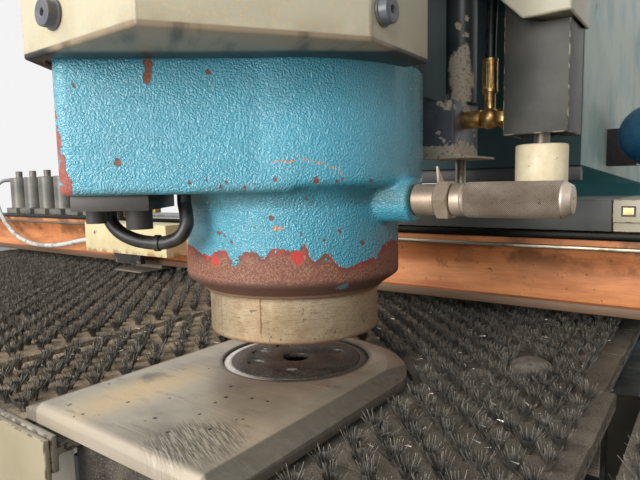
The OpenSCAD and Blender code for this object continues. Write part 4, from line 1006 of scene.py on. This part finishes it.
grip_bm = bmesh.new()
for grip_line in (
        [(76, 0.01), (76, 6), (104.2, 6), (104.2, 9.4), (104.9, 10.1), (119.2, 10.1), (119.9, 9.5), (119.9, 6),
         (129.8, 6), (129.8, 9.6), (130.4, 10.2), (136.4, 10.2), (137.2, 9.6), (137.5, 9.6), (138, 10.3),
         (138.8, 10.45)],
        [(193.6, 10.45), (194.6, 10.4), (198.5, 8.2), (198.8, 7.8), (198.8, 1.6), (197.5, 0.6), (197.5, 0.01)]):
    spun(grip_bm, [grip_point(x, r, 0) for x, r in grip_line], grip_point(0, 0, 0), (1, 0, 0), 64)
groove = grip_bm.verts.layers.float.new("groove")

# The knurl: a net of crossed V grooves with a small pyramid in each of its diamonds
net = {}
knurl_start, knurl_end, knurl_rows, knurl_columns = 138.8, 193.6, 92, 108
for row in range(knurl_rows + 1):
    for column in range(knurl_columns):
        valley = (row + column) % 2 == 0
        x = knurl_start + (knurl_end - knurl_start) * row / knurl_rows
        radius = 10.45 if valley or row in (0, knurl_rows) else 10.88
        vert = grip_bm.verts.new(grip_point(x, radius, math.tau * column / knurl_columns))
        vert[groove] = 1.0 if valley else 0.0
        net[row, column] = vert
for row in range(knurl_rows):
    for column in range(knurl_columns):
        a, b = net[row, column], net[row + 1, column]
        c, d = net[row + 1, (column + 1) % knurl_columns], net[row, (column + 1) % knurl_columns]
        for corners in ((a, b, c), (a, c, d)) if (row + column) % 2 == 0 else ((a, b, d), (b, c, d)):
            grip_bm.faces.new(corners)
bmesh.ops.recalc_face_normals(grip_bm, faces=grip_bm.faces)
add_piece("grip", grip_bm, "frame", "turned_steel", grip_look, "grip_handle", angle=22)


def skin_rings(bm, rings):
    """Faces between rings of as many vertices, and a cap on the first and the last."""
    for low, high in zip(rings, rings[1:]):
        for corners in zip(low, low[1:] + low[:1], high[1:] + high[:1], high):
            bm.faces.new(corners)
    for end in (rings[0], rings[-1]):
        bm.faces.new(end)
    bmesh.ops.recalc_face_normals(bm, faces=bm.faces)


# Jam nut, with the chamfer of its corners turned at both faces
nut_bm = bmesh.new()
nut_flat = 13.2 * math.cos(math.pi / 6)
rings = []
for x, end in ((120.3, 1), (120.3, 0), (129.5, 0), (129.5, 1)):
    ring = []
    for step in range(48):
        turn = math.tau * step / 48
        rim = nut_flat / math.cos(((turn + math.pi / 6) % (math.pi / 3)) - math.pi / 6)
        cut = 0.0 if end else (rim - 0.97 * nut_flat) * 0.55
        ring.append(nut_bm.verts.new(grip_point(x + cut if x < 125 else x - cut,
                                                0.97 * nut_flat if end else rim, turn)))
    rings.append(ring)
skin_rings(nut_bm, rings)

# The lock washer's tab, bent up over the nut's flat
skin_rings(nut_bm, [[nut_bm.verts.new(die_point(x, y, z)) for y, z in ((-5, 132), (4, 132), (-7, 143.3))]
                    for x in (120.9, 122.2)])
add_piece("jam_nut", nut_bm, "frame", "bright_steel", grip_look, "grip_nut", angle=20)

# The hood over the head: folded cream sheet with an inward lip round its lower edge, held by
# socket screws. Its paint has yellowed; oil and handling have browned the lip.
hood_look, where = start_look("hood_paint")
old = use(old_paint, Vector=where, Paint=tint(190, 185, 162), Faded=tint(182, 175, 150),
          Under=tint(126, 104, 78), Chip_Scale=24.0, Chip_Level=0.8, Edge=mark(where, "edge") * 0.3,
          Tone_Scale=9.0)
smear = noise(where, 44.0, 7.0, 0.68)
runs = noise(mapped(where, (9.0, 9.0, 0.7)), 9.0, 4.0)
lip_streaks = noise(mapped(mapped(where, turn=0.6), (1.0, 5.0, 1.0)), 20.0, 6.0)

# The lip's inner edge is painted near black where it comes close to the casting, as painted shadow in the gap
# above it
along_u = mapped(where, turn=-housing_turn)
beside_housing = (along_u.x * 1000.0 - 137.5) | (along_u.y * 1000.0 - 96.0)
off = (reach_of(warped(where, 40.0, 0.008)) - 98.0) & beside_housing
lip_stains_and_shade = layered(blend(rise(lip_streaks, 0.45, 0.75), tint(140, 124, 101), tint(84, 72, 58)),
                     (rise(off, 25.0, 15.0), (28, 33, 32)))
colour = layered(old["Color"],
                 (rise(runs, 0.52, 0.72) * 0.15, (170, 156, 124)),
                 (rise(noise(where, 520.0, 3.0, 0.7), 0.5, 0.66) * rise(where.z, 0.27, 0.21) * 0.6,
                  (212, 180, 132)),
                 (rise(where.z, 0.222, 0.206) * rise(smear, 0.4, 0.7) * 0.4, (140, 118, 88)))
finish_look(hood_look, Base_Color=blend(rise(where.z, 0.2085, 0.2072), colour, lip_stains_and_shade),
            Roughness=smear * 0.2 + 0.3, Normal=bumped(old["Height"], 0.3, 0.0004))
dressed("hood", "frame", "cover_paint", hood_look, 0.0016, segments=3)
dressed("hold_down_cover", "frame", "cover_paint", hood_look, 0.0016, segments=3)
oxide = painted("black_oxide", (44, 45, 46), (66, 64, 60), (120, 110, 96), 80.0, 0.66, 40.0, 0.4)
blued = painted("blued_screws", (62, 68, 78), (90, 94, 100), (92, 84, 72), 110.0, 0.66, 60.0, 0.36)
dressed("hood_screws", "frame", "dark_steel", blued, 0.0007)

# The hold-down beside the head: a rod that pushes an ivory nylon pad onto the sheet, in a dark
# painted housing under a cream cover. The plunger beside it is fed with air through a brass elbow.
housing_paint = painted("housing_paint", (58, 58, 54), (82, 80, 72), (158, 150, 132), 36.0, 0.72, 24.0, 0.5)
dressed("hold_down_housing", "frame", "dark_paint", housing_paint, 0.0014)


def peeling(name, dark, lighter, torn_patch):
    """Dark paint with an old beige coat under it where the mask from torn_patch is 1."""
    look, where = start_look(name)
    torn = torn_patch(where)
    beige = blend(rise(noise(where, 420.0, 3.0), 0.5, 0.72), tint(186, 172, 150), tint(128, 112, 94))
    finish_look(look, Base_Color=blend(torn, blend(toned(where, 40.0), tint(*dark), tint(*lighter)), beige),
                Roughness=torn * 0.2 + 0.4, Normal=bumped(torn * -1.0, 0.6, 0.0004))
    return look


# The tube's paint is torn in one patch in front, with a few flecks above it. The block has lost
# its coat along the lower edge and in places.
def tube_torn(where):
    ragged = warped(warped(where, 90.0, 0.012), 400.0, 0.005)
    return spots(ragged, [(80, 134, 209, 9.5), (81, 134, 221, 11.5), (79, 133, 234, 10), (81, 134, 243, 6.5),
                          (83, 135, 258, 2.6), (78, 133, 266, 3.2), (84, 136, 272, 2.2)])


def block_torn(where):
    ragged = warped(warped(where, 110.0, 0.01), 420.0, 0.004)
    return patched(where, 34.0, 0.57, 0.01) | rise(ragged.z, 0.1645, 0.1635)


dressed("plunger_block", "frame", "dark_paint",
        peeling("peeling_block", (66, 68, 76), (88, 90, 96), block_torn), 0.0012)
dressed("plunger_tube", "frame", "dark_paint",
        peeling("peeling_tube", (46, 54, 54), (64, 68, 66), tube_torn), 0.0012)

rod_look, where = start_look("rod_steel")
steel = use(turned_steel, Vector=where, Along=where.z * 1000.0, Steel=tint(170, 166, 158),
            Film=tint(118, 108, 94))
finish_look(rod_look, Base_Color=steel["Color"], Roughness=steel["Roughness"], Metallic=0.9)
dressed("hold_down_rod", "pad_body", "bright_steel", rod_look, 0.0008)
dressed("plunger_pin", "plunger_body", "bright_steel", rod_look, 0.001)

pad_look, where = start_look("ivory_nylon")
cloud = noise(where, 70.0, 6.0, 0.65)
colour = layered(blend(rise(cloud, 0.34, 0.7), tint(252, 238, 202), tint(236, 216, 174)),
                 (patched(where, 210.0, 0.68, 0.03) * 0.7, (136, 104, 68)))
finish_look(pad_look, Base_Color=colour, Roughness=0.42)
dressed("hold_down_pad", "pad_body", "ivory_plastic", pad_look, 0.0018, segments=4)

# The brass elbow and its ferrule: drawn brass gone brown, with a fluted crimp round the hose
brass_look, where = start_look("old_brass")
cloud = noise(where, 130.0, 6.0, 0.65)
finish_look(brass_look, Base_Color=blend(rise(cloud, 0.34, 0.68), tint(226, 190, 126), tint(160, 122, 72)),
            Roughness=cloud * 0.35 + 0.16, Metallic=0.9)
dressed("air_fitting", "frame", "brass", brass_look, 0.0006)
ferrule_bm = bmesh.new()
rings = []
for z, radius, deep in ((206.4, 5.9, 0), (207.2, 6.5, 0), (209.4, 6.5, 0), (209.6, 6.2, 0.5),
                        (231.6, 6.2, 0.5), (232.0, 6.4, 0), (233.6, 6.4, 0), (233.9, 5.4, 0)):
    ring = []
    for step in range(72):
        turn = math.tau * step / 72
        r = radius - deep * (0.5 + 0.5 * math.cos(12 * turn))
        ring.append(ferrule_bm.verts.new(die_point(106 + r * math.cos(turn), 132 + r * math.sin(turn), z)))
    rings.append(ring)
skin_rings(ferrule_bm, rings)
add_piece("hose_ferrule", ferrule_bm, "frame", "brass", brass_look)

# Inside the head: the ram's cylinder, a dark painted forging
dressed("ram_cylinder", "frame", "grey_paint", grey_paint, 0.002)

# The bracket under the drive housing: a plate with its screws, black with oil and dust
bracket_look = painted("oiled_bracket", (36, 34, 33), (60, 56, 52), (110, 100, 88), 44.0, 0.7, 28.0, 0.5)
dressed("index_bracket", "frame", "dark_steel", bracket_look, 0.0008)
nuts = []
for u, v, z, radius, tall in ((110, 30, 117.4, 5.2, 5.2), (108, 52, 117.2, 4.0, 5.6), (96, 30, 118, 3.6, 4.0)):
    nut = bmesh.new()
    bmesh.ops.create_cone(nut, segments=6, radius1=radius / 1000, radius2=radius / 1000, depth=tall / 1000,
                          cap_ends=True)
    broken_edges(nut, 0.0005)
    nut.transform(Matrix.Translation(punch) @ Matrix.Rotation(housing_turn, 4, "Z")
                  @ Matrix.Translation((u / 1000, v / 1000, z / 1000)))
    nuts.append(nut)
add_piece("bracket_nuts", joined(nuts), "frame", "brass", brass_look, smooth=False)

# The cross rail: a hollow copper-coloured extrusion with a concave face, steel strips along its
# top, and dark grease on its lower lip. It carries the clamps and slides on the cross beam.
rail_look, where = start_look("rail_copper_paint")
height = where.z * 1000.0
cloud = noise(mapped(where, (1.0, 3.0, 6.0)), 9.0, 7.0, 0.65)
lines = noise(mapped(where, (0.6, 1.0, 60.0)), 20.0, 3.0)
burnt = rise(noise(where, 11.0, 6.0, 0.65), 0.46, 0.58) * rise(height, 30.0, 60.0)
colour = layered(blend(rise(cloud, 0.34, 0.66), tint(222, 148, 92), tint(186, 116, 70)),
                 (patched(where, 38.0, 0.62, 0.12) * 0.6, (132, 84, 52)),
                 (rise(lines, 0.55, 0.68) * 0.3, (146, 92, 58)),
                 (patched(where, 160.0, 0.69, 0.02) * 0.7, (84, 52, 36)),
                 (burnt * 0.75, (104, 70, 48)),
                 (rise(cloud * 2.0 + height, 18.4, 17.6) * 0.9, (92, 78, 62)))
finish_look(rail_look, Base_Color=colour, Roughness=cloud * 0.3 + 0.42, Metallic=0.15,
            Normal=bumped(cloud, 0.15, 0.0008))
dressed("rail_beam", "x_rail", "rail_paint", rail_look, 0.0008)

strip_look, where = start_look("ground_strip")
ground = noise(mapped(where, (0.4, 8.0, 30.0)), 60.0, 4.0)
colour = layered(blend(rise(ground, 0.4, 0.65), tint(158, 150, 134), tint(112, 103, 88)),
                 (patched(where, 50.0, 0.6, 0.1) * 0.6, (96, 84, 70)))
finish_look(strip_look, Base_Color=colour, Roughness=ground * 0.3 + 0.2, Metallic=0.9)
dressed("y_guide_rails", "frame", "bright_steel", strip_look, 0.0008)
dressed("y_guide_blocks", "gantry", "bright_steel", strip_look, 0.0008)

# The top strip's front is painted black along its upper edge
top_look = strip_look.copy()
top_look.name = "strip_black_band"
colour, where = base_colour(top_look)
black = rise(where.z, 0.0755, 0.0765) * rise(where.y, 0.2382, 0.2378)
finish_look(top_look, Base_Color=layered(colour, (black, (24, 24, 22))))
dressed("rail_strips", "x_rail", "bright_steel", top_look, 0.0006)

# The cover over the cross beam's drive, grey folded sheet, and the reader box beside it, a cream
# case with a brass-framed window over the rail's scale
cover_look = painted("rail_cover_paint", (74, 77, 75), (98, 98, 93), (54, 50, 46), 30.0, 0.7, 12.0, 0.4)
dressed("rail_cover", "gantry", "grey_paint", cover_look, 0.0015, segments=3)
dressed("reader_box", "gantry", "cover_paint", cream, 0.0015, segments=3)
for name, (x0, x1, z0, z1, y0), slot, look in (
        ("reader_frame", (192, 203.6, 99.8, 109.4, 235.4), "dark_paint", dark_paint),
        ("reader_window", (193.6, 202, 101.4, 107.8, 235.0), "brass", brass_look)):
    plate_bm = bar(die_point((x0 + x1) / 2, (y0 + 236.6) / 2, (z0 + z1) / 2),
                   ((x1 - x0) / 1000, (236.6 - y0) / 1000, (z1 - z0) / 1000))
    add_piece(name, plate_bm, "gantry", slot, look, smooth=False)

# Sheet clamps: a cream pressed cover on a steel body, with a dark jaw that swings on its pin
clamp_look, where = start_look("clamp_paint")
old = use(old_paint, Vector=where, Paint=tint(226, 214, 172), Faded=tint(206, 190, 144),
          Under=tint(140, 96, 56), Chip_Scale=52.0, Chip_Level=0.69, Edge=mark(where, "edge"), Tone_Scale=18.0)
rusty = rise(where.z, 0.04, 0.03) * rise(noise(where, 90.0, 5.0), 0.42, 0.6)
colour = layered(old["Color"], (rusty * 0.7, (140, 88, 48)), (rise(where.z, 0.014, 0.010), (120, 112, 100)))
finish_look(clamp_look, Base_Color=colour, Roughness=0.4)
dressed("clamp_bodies", "x_rail", "table_paint", clamp_look, 0.0022, segments=4)
dressed("left_clamp_jaw", "left_jaw", "dark_steel", oxide, 0.0012)
dressed("right_clamp_jaw", "right_jaw", "dark_steel", oxide, 0.0012)

# Tool magazine: round steel holders on a foot each, dull with oil
holder_look = painted("holder_steel", (88, 88, 84), (126, 122, 112), (60, 54, 48), 44.0, 0.68, 20.0, 0.38)
dressed("tool_holders", "x_rail", "dark_steel", holder_look, 0.0022, segments=3)

# Oil bowl on the arm: a blue plastic ball on its black bracket
bowl_look, where = start_look("blue_bowl")
cloud = noise(where, 50.0, 6.0)
blue = blend(rise(cloud, 0.35, 0.7), tint(30, 96, 138), tint(58, 112, 140))
ball = distance(where, (0.19, 0.5, 0.19))
finish_look(bowl_look, Base_Color=layered(blue, (rise(ball, 0.0393, 0.0397), (52, 46, 42))),
            Roughness=cloud * 0.3 + 0.12)
dressed("oil_bowl", "frame", "blue_plastic", bowl_look, 0.001)

# Red plastic of the main switch and the stop button
red_look, where = start_look("red_plastic")
cloud = noise(where, 70.0, 5.0)
finish_look(red_look, Base_Color=blend(rise(cloud, 0.4, 0.7), tint(186, 34, 28), tint(150, 30, 26)),
            Roughness=cloud * 0.25 + 0.22)
dressed("main_switch", "switch", "red_plastic", red_look, 0.0015)
dressed("e_stop_button", "stop_button", "red_plastic", red_look, 0.003, segments=4)
